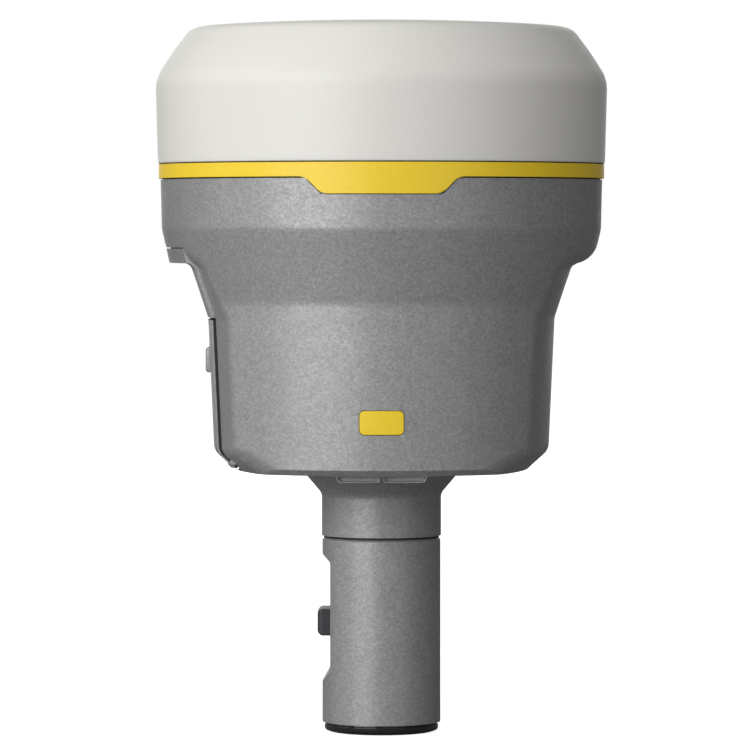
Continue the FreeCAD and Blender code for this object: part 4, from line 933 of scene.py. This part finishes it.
@dataclass
class Keypad:
    """The keypad: its panel, power key, key mark and lamp rings.

    Attributes:
        mark: radius of the ring mark on the key in millimetres.
    """

    mark: float = 2.1

    def build(self, shop: Workshop) -> None:
        """Build the panel, the key, its mark and the lamps' rings."""
        shop.soften("keypad_panel", "charcoal_plastic", Body.RECEIVER, 0.22)
        shop.soften("power_button", "key_rubber", Body.KEY, 0.7, segments=4)
        self.power_mark(shop)
        self.lamp_rings(shop)

    def power_mark(self, shop: Workshop) -> None:
        """A broken ring and a bar, raised on the key."""
        low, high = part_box("power_button")
        middle = ((low[0] + high[0]) / 2, high[1], (low[2] + high[2]) / 2)
        ring = bmesh.new()
        inner, outer = (self.mark - 0.22) * MM, (self.mark + 0.22) * MM
        verts = [ring.verts.new((radius, depth, 0)) for radius, depth in
                 ((inner, -0.0002), (outer, -0.0002), (outer, 0.00015), (inner, 0.00015))]
        face = ring.faces.new(verts)
        bmesh.ops.rotate(ring, verts=verts, cent=(0, 0, 0), matrix=Matrix.Rotation(math.radians(-120), 3, "Y"))
        bmesh.ops.spin(ring, geom=[face, *face.edges, *verts], cent=(0, 0, 0), axis=(0, 1, 0),
                       angle=math.radians(300), steps=36)
        bmesh.ops.recalc_face_normals(ring, faces=ring.faces)
        bar = block((-0.00022, -0.0002, 0.0007), (0.00022, 0.00015, 0.0028), 0.00008)
        mark = joined([ring, bar])
        bmesh.ops.translate(mark, verts=mark.verts, vec=middle)
        shop.finish("power_mark", mark, "label_film", Body.KEY)

    def lamp_rings(self, shop: Workshop) -> None:
        """A fine raised ring round each lamp."""
        data = shop.frame["nodes"]["status_lamps"].data
        lenses = bmesh.new()
        lenses.from_mesh(data)
        bmesh.ops.remove_doubles(lenses, verts=lenses.verts, dist=0.000002)
        spots = []
        left = set(lenses.verts)
        while left:
            group = {left.pop()}
            edge_of = list(group)
            while edge_of:
                for edge in edge_of.pop().link_edges:
                    for vert in edge.verts:
                        if vert in left:
                            left.discard(vert)
                            group.add(vert)
                            edge_of.append(vert)
            span = [vert.co for vert in group]
            spots.append((sum(co.x for co in span) / len(span), max(co.y for co in span),
                          sum(co.z for co in span) / len(span)))
        lenses.free()
        rings = []
        for x, y, z in spots:
            ring = spun([(1.1, -0.6), (1.5, -0.6), (1.5, -0.05, 0.1), (1.1, -0.05, 0.1)], 32)
            tilt = math.asin(min(0.9, x / 0.0525))
            bmesh.ops.rotate(ring, verts=ring.verts, cent=(0, 0, 0),
                             matrix=Matrix.Rotation(-tilt, 3, "Z") @ Matrix.Rotation(math.radians(-90), 3, "X"))
            bmesh.ops.translate(ring, verts=ring.verts, vec=(x, y, z))
            rings.append(ring)
        shop.finish("lamp_rings", joined(rings), "black_gloss", Body.RECEIVER)


@dataclass
class Underside:
    """The port cap, aerial socket, vent and screws under the housing.

    Attributes:
        cap_ribs: grip ribs round the port cap.
        screw_key: radius of a screw's socket in millimetres.
        floor: height of the housing's flat bottom.
    """

    cap_ribs: int = 28
    screw_key: float = 1.3
    floor: float = 69.7

    def build(self, shop: Workshop) -> None:
        """Build every fitting under the housing."""
        self.cap(shop)
        self.aerial_socket(shop)
        self.vent(shop)
        self.screws(shop)
        self.label(shop)

    def cap(self, shop: Workshop) -> None:
        """The rubber port cap, with a domed face and ribs round its rim."""
        low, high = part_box("data_port_cap")
        middle = ((low[0] + high[0]) / 2, (low[1] + high[1]) / 2, low[2])
        radius = (high[0] - low[0]) / 2 / MM
        plug = max(1.0, radius - 1.6)
        height = (high[2] - low[2]) / MM
        body = spun([(0, 0.35), (radius * 0.5, 0.3), (radius - 0.5, 0.0, 0.3), (radius - 0.15, 0.3, 0.2),
                     (radius - 0.15, height - 3.0), (plug, height - 3.0), (plug, height, 0.2), (0, height)],
                    72, closed=False)
        rib = block(((radius - 0.4) * MM, -0.0003, 0.0004), (radius * MM, 0.0003, (height - 3.2) * MM), 0.0001)
        bmesh.ops.spin(rib, geom=rib.verts[:] + rib.edges[:] + rib.faces[:], cent=(0, 0, 0),
                       axis=(0, 0, 1), angle=math.tau * (self.cap_ribs - 1) / self.cap_ribs,
                       steps=self.cap_ribs - 1, use_duplicate=True)
        mesh = joined([body, rib])
        bmesh.ops.translate(mesh, verts=mesh.verts, vec=middle)
        shop.finish("port_cap", mesh, "rubber", Body.CAP, "data_port_cap")

    def aerial_socket(self, shop: Workshop) -> None:
        """A threaded socket for a radio aerial, with its pin hole."""
        low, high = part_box("radio_antenna_socket")
        middle = ((low[0] + high[0]) / 2, (low[1] + high[1]) / 2, 0)
        flange = (high[0] - low[0]) / 2 / MM
        foot, top = low[2] / MM, high[2] / MM
        thread = flange - 1.35
        profile = [(0, foot + 1.0), (thread - 1.1, foot + 1.0), (thread - 1.1, foot, 0.15), (thread - 0.2, foot)]
        for turn in range(4):
            profile += [(thread, foot + 0.15 + 0.35 * turn), (thread - 0.2, foot + 0.325 + 0.35 * turn)]
        seat = foot + 1.65
        profile += [(thread - 0.2, seat), (flange, seat, 0.15), (flange, self.floor), (thread, self.floor), (thread, top), (0, top)]
        shop.finish("aerial_socket", spun(profile, 64, closed=False, middle=middle), "brass", Body.RECEIVER,
                    "radio_antenna_socket")

    def vent(self, shop: Workshop) -> None:
        """The breather with a ring of short slots under its lip."""
        low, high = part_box("pressure_vent")
        middle = ((low[0] + high[0]) / 2, (low[1] + high[1]) / 2, low[2])
        radius = (high[0] - low[0]) / 2 / MM
        shape = softened(shop.frame, "pressure_vent", 0.00015)
        slot = block((radius * 0.35 * MM, -0.0002, -0.00008), (radius * 0.8 * MM, 0.0002, 0.0002), 0.00005)
        bmesh.ops.spin(slot, geom=slot.verts[:] + slot.edges[:] + slot.faces[:], cent=(0, 0, 0), axis=(0, 0, 1),
                       angle=math.tau * 7 / 8, steps=7, use_duplicate=True)
        bmesh.ops.translate(slot, verts=slot.verts, vec=middle)
        for part in (shape, slot):
            outside = [vert for vert in part.verts if vert.co.z < self.floor * MM]
            flatten = Matrix.Translation((0, 0, self.floor * MM)) @ Matrix.Scale(0.35, 4, (0, 0, 1))
            bmesh.ops.transform(part, verts=outside, matrix=flatten, space=Matrix.Translation(
                (0, 0, -self.floor * MM)))
        shop.finish("breather", joined([shape, slot]), "black_plastic", Body.RECEIVER, "pressure_vent")

    def screws(self, shop: Workshop) -> None:
        """Four socket screws round the neck."""
        low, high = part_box("bottom_screws")
        head = 2.5 * MM
        heads = []
        for side in (-1, 1):
            for end in (-1, 1):
                x = (high[0] - head) * side
                y = (high[1] - head) * end
                heads.append(socket_screw(head, 0.0012, self.screw_key * MM, (x, y, low[2] + 0.0012)))
        shop.finish("housing_screws", joined(heads), "machined_steel", Body.RECEIVER, "bottom_screws")

    def label(self, shop: Workshop) -> None:
        """The blank label, with a raised frame round its edge."""
        low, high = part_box("plain_label")
        mesh = block(low, high, 0.00004, 1)
        faces = [face for face in mesh.faces if face.normal.z < -0.9 and face.calc_area() > 0.0001]
        bmesh.ops.inset_region(mesh, faces=faces, thickness=0.0006, depth=0.0)
        bmesh.ops.inset_region(mesh, faces=faces, thickness=0.0002, depth=-0.00005)
        shop.finish("rating_plate", mesh, "label_film", Body.RECEIVER, "plain_label")


@dataclass
class Battery:
    """The battery pack and its grip ribs."""

    def build(self, shop: Workshop) -> None:
        """Build the pack and its end ribs."""
        shop.soften("battery", "battery_case", Body.RECEIVER, 0.6, segments=3)
        low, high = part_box("battery")
        ribs = []
        for index in range(5):
            y = -0.008 + index * 0.004
            ribs.append(block((low[0] - 0.0002, y - 0.0006, low[2] + 0.004), (low[0] + 0.0004, y + 0.0006, high[2] - 0.004),
                              0.00015))
        shop.finish("battery_grip", joined(ribs), "battery_case", Body.RECEIVER)


def main() -> None:
    """Build the whole object and report each piece."""
    logging.basicConfig(level=logging.INFO, format="%(message)s")
    bpy.context.scene.view_settings.view_transform = "Standard"
    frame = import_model()
    paints = Paintbox()
    paints.mix()
    paints.coat_frame(frame)
    shop = Workshop(frame, paints)
    for assembly in (Adapter(), Housing(), Radome(), Door(), Keypad(), Underside(), Battery()):
        assembly.build(shop)
    Studio().build()


if __name__ == "__main__":
    main()
